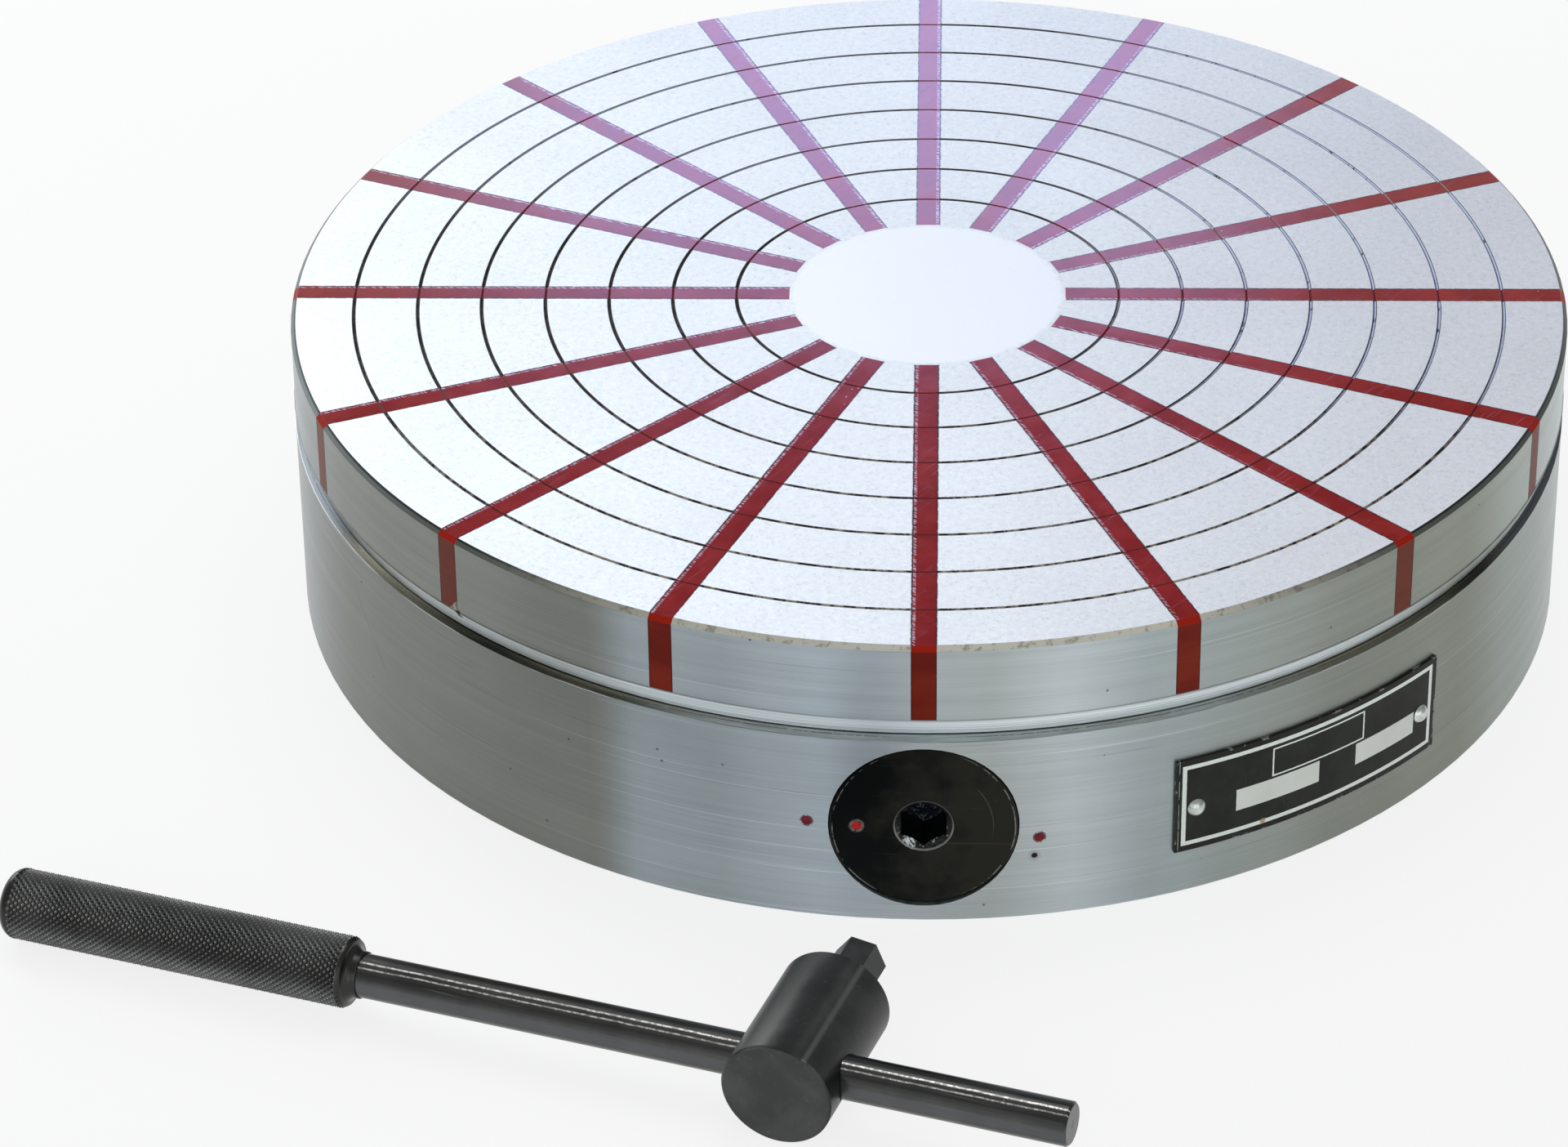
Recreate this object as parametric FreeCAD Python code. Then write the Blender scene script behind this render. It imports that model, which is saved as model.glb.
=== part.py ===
import FreeCAD, Part
import os
from math import asin, cos, degrees, pi, radians, sin, sqrt, tan

# A round permanent magnetic chuck with radial poles, and its hexagon key.
# Millimetres. The chuck's axis is Z, its underside is z = 0 and the actuator faces -Y.

# Chuck
chuck_dia = 300.0
chuck_height = 72.6
wall_thickness = 32.0
floor_thickness = 7.5
foot_chamfer = 0.6

# Joint between the pole plate and the base: an open groove above a shallow ledge on the base's rim.
# The plate's lower band tapers inwards to the groove.
joint_gap_height = 0.4
joint_gap_depth = 3.0
base_ledge_width = 1.7
base_ledge_drop = 0.8
plate_edge_break = 0.3
band_step = 0.2
band_taper = 1.4

# Pole plate: milled slots filled with resin, scribed rings on the face
pole_count = 16
slot_width = 5.6
slot_inner_radius = 32.5
slot_floor = 4.4
plate_rim_chamfer = 1.1
ring_first_radius = 45.0
ring_pitch = 15.0
ring_rim_margin = 10.0
ring_width = 0.6
ring_depth = 0.35

# Underside
locating_dia = 60.0
locating_depth = 3.0
table_hole_inset = 16.0
table_hole_count = 4
table_hole_dia = 8.5
table_hole_depth = 16.0

# Plate screws, dowels and seal: insets from the wall, the seal's from the cavity.
# The threads of the plate end a cover below its face, so that the face can be ground again.
plate_screw_inset = 16.0
plate_screw_dia = 8.0
plate_screw_seat = 22.0
plate_screw_cover = 6.0
dowel_dia = 8.0
dowel_reach = 8.0
seal_groove_inset = 5.0
seal_groove_width = 3.2
seal_groove_depth = 2.3

# Centre post and its bearings
post_dia = 30.0
post_spigot_dia = 24.0
post_spigot_depth = 3.5
centre_screw_dia = 8.0
centre_web = 3.3
boss_dia = 68.0
boss_height = 10.8
thrust_washer_thickness = 1.5
thrust_washer_dia = 60.0
rotor_bush_wall = 5.0

# Magnet rotor
rotor_plate_thickness = 10.0
rotor_rim_gap = 4.0
rotor_air_gap = 0.5
band_thickness = 2.0
magnet_thickness = 8.0
core_wall = 14.0
rotor_screw_inset = 39.0
rotor_screw_dia = 5.0
rotor_screw_grip = 10.0

# Drive: an eccentric pin with a roller, in a slot of a block in the rotor's rim
roller_dia = 12.0
roller_length = 10.0
roller_inset = 3.0
roller_edge = 0.4
pin_dia = 8.0
pin_shoulder = 0.6
pin_edge = 0.06
pin_press_length = 10.0
clip_thickness = 0.6
clip_groove_depth = 0.8
clip_mouth = 4.0
block_wall = 6.0
block_web = 13.0
block_screw_dia = 5.0
block_screw_grip = 12.0

# Actuator shaft, seen as a flat disc in the wall, with the steel below and above the disc's pocket
disc_dia = 41.4
disc_foot_land = 4.25
disc_joint_land = 3.05
disc_thickness = 7.0
disc_inset = 0.8
disc_chamfer = 0.35
socket_flats = 10.0
socket_mouth_dia = 13.0
socket_depth = 16.0
socket_drill_gap = 0.1
socket_drill_tip = 2.9
shaft_end_gap = 2.0
actuator_bush_wall = 3.0
actuator_bush_end = 3.0
shaft_seal_section = 2.2
shaft_seal_depth = 9.0
shaft_seal_spare = 0.44
stop_screw_dia = 8.0
stop_dog_dia = 5.0
stop_dog_reach = 3.0
stop_depth = 19.0

# Marks round the disc, at their turns about its axis from +X, and the nameplate
dot_dia = 2.3
dot_depth = 0.8
dot_stand = 0.05
wall_dot_margin = 5.1
wall_dot_turns = [179.2, -8.3]
disc_dot_inset = 6.0
nameplate_angle = -54.38
nameplate_width = 73.72
nameplate_low = 11.8
nameplate_height = 24.3
nameplate_thickness = 0.8
rivet_head_dia = 4.4
rivet_head_height = 1.4
rivet_shank_dia = 2.2
rivet_length = 6.0
rivet_inset = 5.1
rivet_height = 22.9

# Key, lying on the floor in front of the chuck
key_head_dia = 24.8
key_head_length = 35.4
key_head_chamfer = 0.4
key_hex_flats = 9.9
key_hex_length = 15.4
key_hex_turn = -21.5
key_bar_dia = 9.7
key_bar_setback = 10.6
key_hole_chamfer = 0.7
key_bar_reach = 62.0
key_bar_chamfer = 0.5
grip_dia = 16.0
grip_start = 99.6
grip_shoulder = 103.4
grip_end = 185.3
grip_end_round = 3.0
grip_neck_wall = 0.35
grip_neck_radius = 2.2
grip_neck_land = 0.55
grip_shoulder_slope = 0.4
grip_bore_depth = 60.0
key_turn = -19.87
key_cross_x = -26.9
key_cross_y = -218.1

# Cap screws: head and socket sizes as shares of the thread's diameter
screw_head_share = 1.6
screw_socket_share = 0.75

# Clearances, the spare depth under a screw, and how far a cutter passes the faces that it cuts
seat_gap = 0.02
running_gap = 0.05
free_gap = 0.3
drill_spare = 1.0
cut_over = 1.0

# Worked out from the sizes above
chuck_radius = chuck_dia / 2
top = chuck_height
pocket_radius = disc_dia / 2 + free_gap
actuator_height = disc_foot_land + pocket_radius
joint_height = actuator_height + pocket_radius + disc_joint_land
thread_end = top - plate_screw_cover
cavity_radius = chuck_radius - wall_thickness
plate_screw_radius = chuck_radius - plate_screw_inset
table_hole_radius = chuck_radius - table_hole_inset
seal_groove_radius = cavity_radius + seal_groove_inset
ring_count = 1 + int((chuck_radius - ring_rim_margin - ring_first_radius) / ring_pitch)
pole_pitch = 360.0 / pole_count
half_travel = pole_pitch / 4
boss_top = floor_thickness + boss_height
rotor_bottom = boss_top + thrust_washer_thickness
rotor_floor = rotor_bottom + rotor_plate_thickness
rotor_top = joint_height - rotor_air_gap
rotor_radius = cavity_radius - rotor_rim_gap
pole_radius = rotor_radius - band_thickness
rotor_screw_radius = rotor_radius - rotor_screw_inset
post_radius = post_dia / 2
bush_radius = post_radius + rotor_bush_wall
core_radius = bush_radius + core_wall
spigot_seat = boss_top - post_spigot_depth
centre_seat = spigot_seat - centre_web
slot_angles = [-90 + pole_pitch * k for k in range(pole_count)]

# The pin swings half a turn while the rotor swings pole_pitch / 2. The true motion is a sine,
# and the slot is wide enough for the part of it that an even motion leaves out.
roller_outer = rotor_radius - roller_inset
pin_arm = roller_outer - roller_length / 2
eccentricity = pin_arm * tan(radians(half_travel))
lag_turn = asin(2 / pi)
lag_share = 2 * lag_turn / pi - (1 - cos(lag_turn))
pin_swing = pin_arm * tan(radians(half_travel * lag_share))
roller_tilt = roller_length / 2 * tan(radians(half_travel))
drive_slot_width = 2 * ((roller_dia / 2 + pin_swing + roller_tilt) / cos(radians(half_travel)) + free_gap)
pin_end = roller_outer - roller_length - running_gap - 2 * clip_thickness - free_gap
drive_slot_inner = pin_end - 2 * free_gap - clip_thickness
block_inner = drive_slot_inner - block_web
block_width = drive_slot_width + 2 * block_wall
block_angle = -90 - half_travel

# Depths along the actuator are from the face of its disc, inwards
face_y = -(chuck_radius - disc_inset)
shaft_radius = eccentricity + pin_dia / 2 + pin_shoulder + pin_edge
shaft_length = -face_y - rotor_radius - shaft_end_gap
bush_end = -face_y - rotor_radius - actuator_bush_end
bush_outer = shaft_radius + running_gap + actuator_bush_wall
disc_dot_radius = disc_dia / 2 - disc_dot_inset
wall_dot_radius = disc_dia / 2 + wall_dot_margin
nameplate_span = degrees(nameplate_width / chuck_radius)

key_grip_radius = grip_dia / 2
key_head_radius = key_head_dia / 2
key_slope = degrees(asin((key_head_radius - key_grip_radius) / (grip_end - grip_end_round)))


def vector(x, y, z):
    return FreeCAD.Vector(x, y, z)


def disc(radius, low, high, x=0.0, y=0.0):
    """A cylinder about a line parallel to Z."""
    return Part.makeCylinder(radius, high - low, vector(x, y, low))


def ring(inner, outer, low, high):
    return disc(outer, low, high).cut(disc(inner, low, high))


def turned(profile, angle=360.0):
    """Turns a closed profile of (radius, height) points about Z."""
    points = [vector(radius, 0, height) for radius, height in profile]
    face = Part.Face(Part.makePolygon(points + points[:1]))
    return face.revolve(vector(0, 0, 0), vector(0, 0, 1), angle)


def hexagon(flats, low, high):
    """A hexagonal prism about Z with two corners on the Y axis."""
    corner = flats / sqrt(3)
    angles = [radians(30 + 60 * k) for k in range(6)]
    points = [vector(corner * cos(a), corner * sin(a), low) for a in angles]
    return Part.Face(Part.makePolygon(points + points[:1])).extrude(vector(0, 0, high - low))


def spun(shape, angle):
    """A copy turned about the chuck's axis."""
    copy = shape.copy()
    copy.rotate(vector(0, 0, 0), vector(0, 0, 1), angle)
    return copy


def at(circle_radius, angle):
    return circle_radius * cos(radians(angle)), circle_radius * sin(radians(angle))


def inward(shape, x=0.0):
    """Stands a shape made about Z on the disc's face, with its Z pointing into the chuck."""
    copy = shape.copy()
    copy.rotate(vector(0, 0, 0), vector(1, 0, 0), -90)
    copy.translate(vector(x, face_y, actuator_height))
    return copy


def outward(shape, angle, height):
    """Lays a shape made about Z along the radius at an angle, with its Z pointing out."""
    copy = shape.copy()
    copy.rotate(vector(0, 0, 0), vector(0, 1, 0), 90)
    copy.rotate(vector(0, 0, 0), vector(0, 0, 1), angle)
    copy.translate(vector(0, 0, height))
    return copy


def rotor_place(shape):
    """Turns a shape made on +X to the drive block's place at rest."""
    return spun(shape, block_angle)


def cap_screw(diameter, seat, tip):
    """A hexagon socket cap screw about Z: its head hangs below the seat, its shank ends at the tip."""
    radius = diameter / 2
    head = disc(radius * screw_head_share, seat - diameter, seat)
    shank = disc(radius, seat, tip)
    socket = hexagon(diameter * screw_socket_share, seat - diameter, seat - radius)
    return head.fuse(shank).removeSplitter().cut(socket)


def cap_screw_hole(diameter, seat, tip, floor):
    """Room for a cap screw: a counterbore from the floor to the seat, and a hole to the tip."""
    radius = diameter / 2
    counterbore = disc(radius * screw_head_share + free_gap, floor, seat)
    hole = disc(radius + seat_gap, seat, tip)
    return counterbore.fuse(hole)


def plate_screw_places():
    """Under the middle of every other pole face, clear of the actuator at the front."""
    first = pole_pitch + pole_pitch / 2
    offsets = [first + 2 * pole_pitch * k for k in range(pole_count // 4)]
    angles = [-90 + side * offset for offset in offsets for side in (-1, 1)]
    return [at(plate_screw_radius, angle) for angle in angles]


def dowel_places():
    offset = 90 + pole_pitch / 2
    return [at(plate_screw_radius, -90 + side * offset) for side in (-1, 1)]


def table_hole_places():
    spacing = 360.0 / table_hole_count
    angles = [spacing / 2 + spacing * k for k in range(table_hole_count)]
    return [at(table_hole_radius, angle) for angle in angles]


def plate_blank():
    """The pole plate before its slots: tapered band, step and chamfer at the rim, V grooves on the face."""
    wall = chuck_radius - band_step
    band_low = chuck_radius - band_taper
    band_top = joint_height + slot_floor
    profile = [
        (0, joint_height),
        (band_low - plate_edge_break, joint_height),
        (band_low, joint_height + plate_edge_break),
        (chuck_radius, band_top - band_step),
        (wall, band_top),
        (wall, top - plate_rim_chamfer),
        (wall - plate_rim_chamfer, top),
    ]
    for k in reversed(range(ring_count)):
        radius = ring_first_radius + ring_pitch * k
        profile.append((radius + ring_width / 2, top))
        profile.append((radius, top - ring_depth))
        profile.append((radius - ring_width / 2, top))
    profile.append((0, top))
    return turned(profile)


def pole_slots():
    length = chuck_radius - slot_inner_radius + cut_over
    height = top - joint_height - slot_floor + cut_over
    corner = vector(slot_inner_radius, -slot_width / 2, joint_height + slot_floor)
    slot = Part.makeBox(length, slot_width, height, corner)
    return [spun(slot, angle) for angle in slot_angles]


def pole_plate(blank, slots):
    holes = [disc(plate_screw_dia / 2 + seat_gap, joint_height, thread_end, x, y)
             for x, y in plate_screw_places()]
    holes += [disc(dowel_dia / 2 + seat_gap, joint_height, joint_height + dowel_reach, x, y)
              for x, y in dowel_places()]
    holes.append(disc(centre_screw_dia / 2 + seat_gap, joint_height, thread_end))
    return blank.cut(slots + holes)


def pole_separators(blank, slots):
    return Part.makeCompound([blank.common(slot).Solids[0] for slot in slots])


def base_body():
    """The turned pot: foot, joint groove, seal groove, cavity, and the boss under the rotor."""
    rim = joint_height - joint_gap_height
    seat_edge = chuck_radius - joint_gap_depth
    seal_outer = seal_groove_radius + seal_groove_width / 2
    seal_inner = seal_groove_radius - seal_groove_width / 2
    spigot_bore = post_spigot_dia / 2 + seat_gap
    screw_bore = centre_screw_dia / 2 + free_gap
    counterbore = centre_screw_dia / 2 * screw_head_share + free_gap
    locating = locating_dia / 2
    return turned([
        (locating, 0),
        (chuck_radius - foot_chamfer, 0),
        (chuck_radius, foot_chamfer),
        (chuck_radius, rim - base_ledge_drop),
        (chuck_radius - base_ledge_width, rim),
        (seat_edge, rim),
        (seat_edge, joint_height),
        (seal_outer, joint_height),
        (seal_outer, joint_height - seal_groove_depth),
        (seal_inner, joint_height - seal_groove_depth),
        (seal_inner, joint_height),
        (cavity_radius, joint_height),
        (cavity_radius, floor_thickness),
        (boss_dia / 2, floor_thickness),
        (boss_dia / 2, boss_top),
        (spigot_bore, boss_top),
        (spigot_bore, spigot_seat),
        (screw_bore, spigot_seat),
        (screw_bore, centre_seat),
        (counterbore, centre_seat),
        (counterbore, locating_depth),
        (locating, locating_depth),
    ])


def base():
    pocket = inward(disc(pocket_radius, -disc_inset - cut_over, disc_thickness))
    bush_bore = inward(disc(bush_outer + seat_gap, disc_thickness, bush_end + wall_thickness / 2))
    cuts = [pocket, bush_bore, stop_screw_hole()]
    for x, y in plate_screw_places():
        hole = cap_screw_hole(plate_screw_dia, plate_screw_seat, joint_height, 0)
        hole.translate(vector(x, y, 0))
        cuts.append(hole)
    for x, y in dowel_places():
        cuts.append(disc(dowel_dia / 2 + seat_gap, joint_height - dowel_reach, joint_height, x, y))
    for x, y in table_hole_places():
        cuts.append(disc(table_hole_dia / 2, 0, table_hole_depth, x, y))
    dimple = disc(dot_dia / 2 + seat_gap, chuck_radius - dot_depth, chuck_radius + cut_over)
    cuts += [outward(dimple, angle, height) for angle, height in wall_dot_places()]
    drilled = disc(rivet_shank_dia / 2 + seat_gap, chuck_radius - rivet_length, chuck_radius + cut_over)
    cuts += [outward(drilled, angle, rivet_height) for angle in rivet_angles()]
    return base_body().cut(cuts)


def plate_screws():
    screw = cap_screw(plate_screw_dia, plate_screw_seat, thread_end - drill_spare)
    return Part.makeCompound([screw.translated(vector(x, y, 0)) for x, y in plate_screw_places()])


def plate_dowels():
    low = joint_height - dowel_reach
    high = joint_height + dowel_reach
    return Part.makeCompound([disc(dowel_dia / 2, low, high, x, y) for x, y in dowel_places()])


def joint_seal():
    """The cord ring, squashed to the depth of its groove."""
    half = seal_groove_width / 2 - free_gap / 2
    edge = half / 3
    low = joint_height - seal_groove_depth
    return turned([
        (seal_groove_radius - half + edge, low),
        (seal_groove_radius + half - edge, low),
        (seal_groove_radius + half, low + edge),
        (seal_groove_radius + half, joint_height - edge),
        (seal_groove_radius + half - edge, joint_height),
        (seal_groove_radius - half + edge, joint_height),
        (seal_groove_radius - half, joint_height - edge),
        (seal_groove_radius - half, low + edge),
    ])


def centre_post():
    bore = centre_screw_dia / 2 + free_gap
    spigot = post_spigot_dia / 2
    return turned([
        (bore, spigot_seat + running_gap),
        (spigot, spigot_seat + running_gap),
        (spigot, boss_top),
        (post_radius, boss_top),
        (post_radius, joint_height),
        (bore, joint_height),
    ])


def centre_screw():
    return cap_screw(centre_screw_dia, centre_seat, thread_end - drill_spare)


def thrust_washer():
    return ring(post_radius + free_gap, thrust_washer_dia / 2, boss_top, rotor_bottom)


def rotor_bush():
    return ring(post_radius + running_gap, bush_radius, rotor_bottom, joint_height - running_gap)


def rotor_core():
    return ring(bush_radius + seat_gap, core_radius, rotor_floor, rotor_top)


def drive_slot():
    """The open slot for the roller, made on +X."""
    length = rotor_radius - drive_slot_inner + cut_over
    height = rotor_top - rotor_bottom + 2 * cut_over
    corner = vector(drive_slot_inner, -drive_slot_width / 2, rotor_bottom - cut_over)
    return Part.makeBox(length, drive_slot_width, height, corner)


def block_pocket(gap):
    """The room that the drive block takes among the poles, made on +X, with a gap all round."""
    length = rotor_radius - block_inner + gap
    width = block_width + 2 * gap
    corner = vector(block_inner - gap, -width / 2, rotor_floor)
    return Part.makeBox(length, width, rotor_top - rotor_floor, corner)


def block_screw_places():
    radius = block_inner + block_web / 2
    return [(radius, side * drive_slot_width / 2) for side in (-1, 1)]


def drive_block():
    block = block_pocket(0).common(disc(pole_radius, rotor_floor, rotor_top))
    drilled = rotor_floor + block_screw_grip + drill_spare
    holes = [disc(block_screw_dia / 2 + seat_gap, rotor_floor, drilled, x, y) for x, y in block_screw_places()]
    return rotor_place(block.cut([drive_slot()] + holes))


def drive_block_screws():
    screw = cap_screw(block_screw_dia, rotor_bottom + block_screw_dia + free_gap, rotor_floor + block_screw_grip)
    return Part.makeCompound([rotor_place(screw.translated(vector(x, y, 0))) for x, y in block_screw_places()])


def pole_angles():
    """From the drive block: at rest each pole shoe sits across a slot, half a pitch away under a pole face."""
    return [half_travel + pole_pitch * k for k in range(pole_count)]


def magnet_angles():
    return [angle + pole_pitch / 2 for angle in pole_angles()]


def rotor_screw_places():
    return [at(rotor_screw_radius, angle) for angle in pole_angles()]


def rotor_plate():
    cuts = [drive_slot()]
    for x, y in rotor_screw_places():
        hole = cap_screw_hole(rotor_screw_dia, rotor_bottom + rotor_screw_dia + free_gap, rotor_floor, rotor_bottom)
        cuts.append(hole.translated(vector(x, y, 0)))
    for x, y in block_screw_places():
        hole = cap_screw_hole(block_screw_dia, rotor_bottom + block_screw_dia + free_gap, rotor_floor, rotor_bottom)
        cuts.append(hole.translated(vector(x, y, 0)))
    return rotor_place(ring(bush_radius + seat_gap, rotor_radius, rotor_bottom, rotor_floor).cut(cuts))


def rotor_poles():
    """Steel wedges between the magnets, cut back where the drive block sits."""
    half_pitch = radians(pole_pitch / 2)
    apex = (magnet_thickness / 2 + seat_gap) / sin(half_pitch)
    reach = 2 * rotor_radius
    side = (reach - apex) * tan(half_pitch)
    points = [vector(apex, 0, rotor_floor), vector(reach, -side, rotor_floor), vector(reach, side, rotor_floor)]
    wedge = Part.Face(Part.makePolygon(points + points[:1])).extrude(vector(0, 0, rotor_top - rotor_floor))
    shoe = wedge.common(ring(core_radius + seat_gap, pole_radius, rotor_floor, rotor_top))
    drilled = rotor_floor + rotor_screw_grip + drill_spare
    shoe = shoe.cut(disc(rotor_screw_dia / 2 + seat_gap, rotor_floor, drilled, rotor_screw_radius))
    room = block_pocket(seat_gap)
    shoes = [spun(shoe, angle).cut(room).Solids[0] for angle in pole_angles()]
    return Part.makeCompound([rotor_place(solid) for solid in shoes])


def rotor_magnets():
    start = core_radius + 2 * seat_gap
    end = sqrt(pole_radius ** 2 - (magnet_thickness / 2) ** 2) - seat_gap
    corner = vector(start, -magnet_thickness / 2, rotor_floor)
    bar = Part.makeBox(end - start, magnet_thickness, rotor_top - rotor_floor, corner)
    room = block_pocket(seat_gap)
    bars = [spun(bar, angle).cut(room).Solids[0] for angle in magnet_angles()]
    return Part.makeCompound([rotor_place(solid) for solid in bars])


def rotor_band():
    """The thin ring that holds the poles and magnets, open at the drive slot."""
    band = ring(pole_radius + seat_gap, rotor_radius, rotor_floor, rotor_top)
    return rotor_place(band.cut(drive_slot()))


def rotor_screws():
    screw = cap_screw(rotor_screw_dia, rotor_bottom + rotor_screw_dia + free_gap, rotor_floor + rotor_screw_grip)
    return Part.makeCompound([rotor_place(screw.translated(vector(x, y, 0))) for x, y in rotor_screw_places()])


def stop_groove():
    """Half a ring in the shaft, longer by the dog point: it lets the shaft turn from mark to mark."""
    dog = stop_dog_dia / 2 + free_gap
    bottom = shaft_radius - stop_dog_reach - free_gap
    spare = degrees(asin(dog / bottom))
    low = stop_depth - dog
    sector = Part.makeCylinder(shaft_radius + cut_over, 2 * dog, vector(0, 0, low), vector(0, 0, 1),
                               180 + 2 * spare)
    groove = sector.cut(disc(bottom, low, low + 2 * dog))
    return spun(groove, -90 - spare)


def actuator_shaft():
    """The disc, its shaft with seal and stop grooves, the hexagon socket and the seat of the pin."""
    seal_floor = shaft_radius - shaft_seal_section - 2 * running_gap
    seal_end = shaft_seal_depth + shaft_seal_section + shaft_seal_spare
    blank = turned([
        (0, 0),
        (disc_dia / 2 - disc_chamfer, 0),
        (disc_dia / 2, disc_chamfer),
        (disc_dia / 2, disc_thickness),
        (shaft_radius, disc_thickness),
        (shaft_radius, shaft_seal_depth),
        (seal_floor, shaft_seal_depth),
        (seal_floor, seal_end),
        (shaft_radius, seal_end),
        (shaft_radius, shaft_length),
        (0, shaft_length),
    ])
    mouth_depth = (socket_mouth_dia - socket_flats) / 2
    mouth = turned([(0, 0), (socket_mouth_dia / 2, 0), (socket_flats / 2, mouth_depth), (0, mouth_depth)])
    drill = socket_flats / 2 - socket_drill_gap
    drill_tip = turned([(0, socket_depth), (drill, socket_depth), (0, socket_depth + socket_drill_tip)])
    socket = hexagon(socket_flats, 0, socket_depth)
    seat = disc(pin_dia / 2 + seat_gap, shaft_length - pin_press_length, shaft_length, -eccentricity)
    dimple = disc(dot_dia / 2 + seat_gap, 0, dot_depth, -disc_dot_radius)
    return inward(blank.cut([mouth, socket, drill_tip, stop_groove(), seat, dimple]))


def actuator_dot():
    return inward(disc(dot_dia / 2, -dot_stand, dot_depth, -disc_dot_radius))


def actuator_seal():
    """A ring of round section, stretched into the shaft's groove."""
    section = shaft_seal_section / 2
    middle = shaft_radius - 2 * running_gap - section + seat_gap
    depth = shaft_seal_depth + (shaft_seal_section + shaft_seal_spare) / 2
    return inward(Part.makeTorus(middle, section, vector(0, 0, depth)))


def actuator_bush():
    """The bronze sleeve of the shaft, with the hole for the stop screw's dog."""
    dog_hole = Part.makeCylinder(stop_dog_dia / 2 + free_gap, bush_outer + cut_over, vector(0, 0, stop_depth),
                                 vector(0, 1, 0))
    sleeve = ring(shaft_radius + running_gap, bush_outer, disc_thickness, bush_end)
    return inward(sleeve.cut(dog_hole))


def stop_body_top():
    """Just under the bush."""
    return actuator_height - bush_outer - free_gap


def stop_screw():
    """A set screw from the underside. Its dog point passes the bush and runs in the shaft's groove."""
    y = face_y + stop_depth
    body = disc(stop_screw_dia / 2, foot_chamfer, stop_body_top(), 0, y)
    dog_top = actuator_height - shaft_radius + stop_dog_reach
    dog = disc(stop_dog_dia / 2, stop_body_top(), dog_top, 0, y)
    socket = hexagon(stop_screw_dia / 2, foot_chamfer, stop_body_top() / 2).translated(vector(0, y, 0))
    return body.fuse(dog).removeSplitter().cut(socket)


def stop_screw_hole():
    return disc(stop_screw_dia / 2 + seat_gap, 0, actuator_height - shaft_radius, 0, face_y + stop_depth)


def clip_start():
    """Depth at which the clip's groove begins, past the roller."""
    return -face_y - roller_outer + roller_length + running_gap


def eccentric_pin():
    """Pressed into the shaft's end: a shoulder, the roller's journal and the clip's groove."""
    radius = pin_dia / 2
    shoulder_end = -face_y - roller_outer - running_gap
    groove_start = clip_start()
    groove_end = groove_start + clip_thickness + running_gap
    groove_radius = radius - clip_groove_depth
    pin = turned([
        (0, shaft_length - pin_press_length),
        (radius, shaft_length - pin_press_length),
        (radius, shaft_length),
        (radius + pin_shoulder, shaft_length),
        (radius + pin_shoulder, shoulder_end),
        (radius, shoulder_end),
        (radius, groove_start),
        (groove_radius, groove_start),
        (groove_radius, groove_end),
        (radius, groove_end),
        (radius, -face_y - pin_end),
        (0, -face_y - pin_end),
    ])
    return inward(pin, -eccentricity)


def pin_clip():
    """An open clip in the pin's groove."""
    inner = pin_dia / 2 - clip_groove_depth + seat_gap
    outer = roller_dia / 2 - free_gap
    low = clip_start() + running_gap / 2
    whole = ring(inner, outer, low, low + clip_thickness)
    mouth = Part.makeBox(outer + cut_over, clip_mouth, clip_thickness + 2 * cut_over,
                         vector(0, -clip_mouth / 2, low - cut_over))
    return inward(whole.cut(mouth), -eccentricity)


def drive_roller():
    bore = pin_dia / 2 + running_gap
    outer = roller_dia / 2
    start = -face_y - roller_outer
    end = start + roller_length
    roller = turned([
        (bore, start),
        (outer - roller_edge, start),
        (outer, start + roller_edge),
        (outer, end - roller_edge),
        (outer - roller_edge, end),
        (bore, end),
    ])
    return inward(roller, -eccentricity)


def wall_dot_places():
    """The angle about the chuck and the height of each mark: they stand on a circle round the disc."""
    places = [at(wall_dot_radius, turn) for turn in wall_dot_turns]
    return [(-90 + degrees(along_wall / chuck_radius), actuator_height + rise) for along_wall, rise in places]


def index_dots():
    dot = disc(dot_dia / 2, chuck_radius - dot_depth, chuck_radius + dot_stand)
    return Part.makeCompound([outward(dot, angle, height) for angle, height in wall_dot_places()])


def rivet_angles():
    inset = degrees(rivet_inset / chuck_radius)
    return [nameplate_angle + side * (nameplate_span / 2 - inset) for side in (-1, 1)]


def nameplate():
    """A thin sheet bent to the wall, with the rivets' holes."""
    low = nameplate_low
    high = nameplate_low + nameplate_height
    outer = chuck_radius + nameplate_thickness
    sheet = turned([(chuck_radius, low), (outer, low), (outer, high), (chuck_radius, high)], nameplate_span)
    hole = disc(rivet_shank_dia / 2 + seat_gap, chuck_radius - cut_over, outer + cut_over)
    holes = [outward(hole, angle, rivet_height) for angle in rivet_angles()]
    return spun(sheet, nameplate_angle - nameplate_span / 2).cut(holes)


def nameplate_rivets():
    """Drive rivets: a domed head on the sheet and a shank in the wall."""
    shank = rivet_shank_dia / 2
    head = rivet_head_dia / 2
    seat = chuck_radius + nameplate_thickness
    dome_radius = (head ** 2 + rivet_head_height ** 2) / (2 * rivet_head_height)
    dome = Part.makeSphere(dome_radius, vector(0, 0, seat + rivet_head_height - dome_radius))
    cap = dome.common(disc(head, seat, seat + rivet_head_height))
    rivet = cap.fuse(disc(shank, seat - rivet_length, seat))
    return Part.makeCompound([outward(rivet, angle, rivet_height) for angle in rivet_angles()])


def key_place(shape):
    """From the key's own frame, with its bar along X and its head along Y, to where it lies."""
    copy = shape.copy()
    copy.rotate(vector(0, 0, 0), vector(0, 1, 0), -key_slope)
    copy.rotate(vector(0, 0, 0), vector(0, 0, 1), key_turn)
    copy.translate(vector(key_cross_x, key_cross_y, key_head_radius))
    return copy


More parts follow.
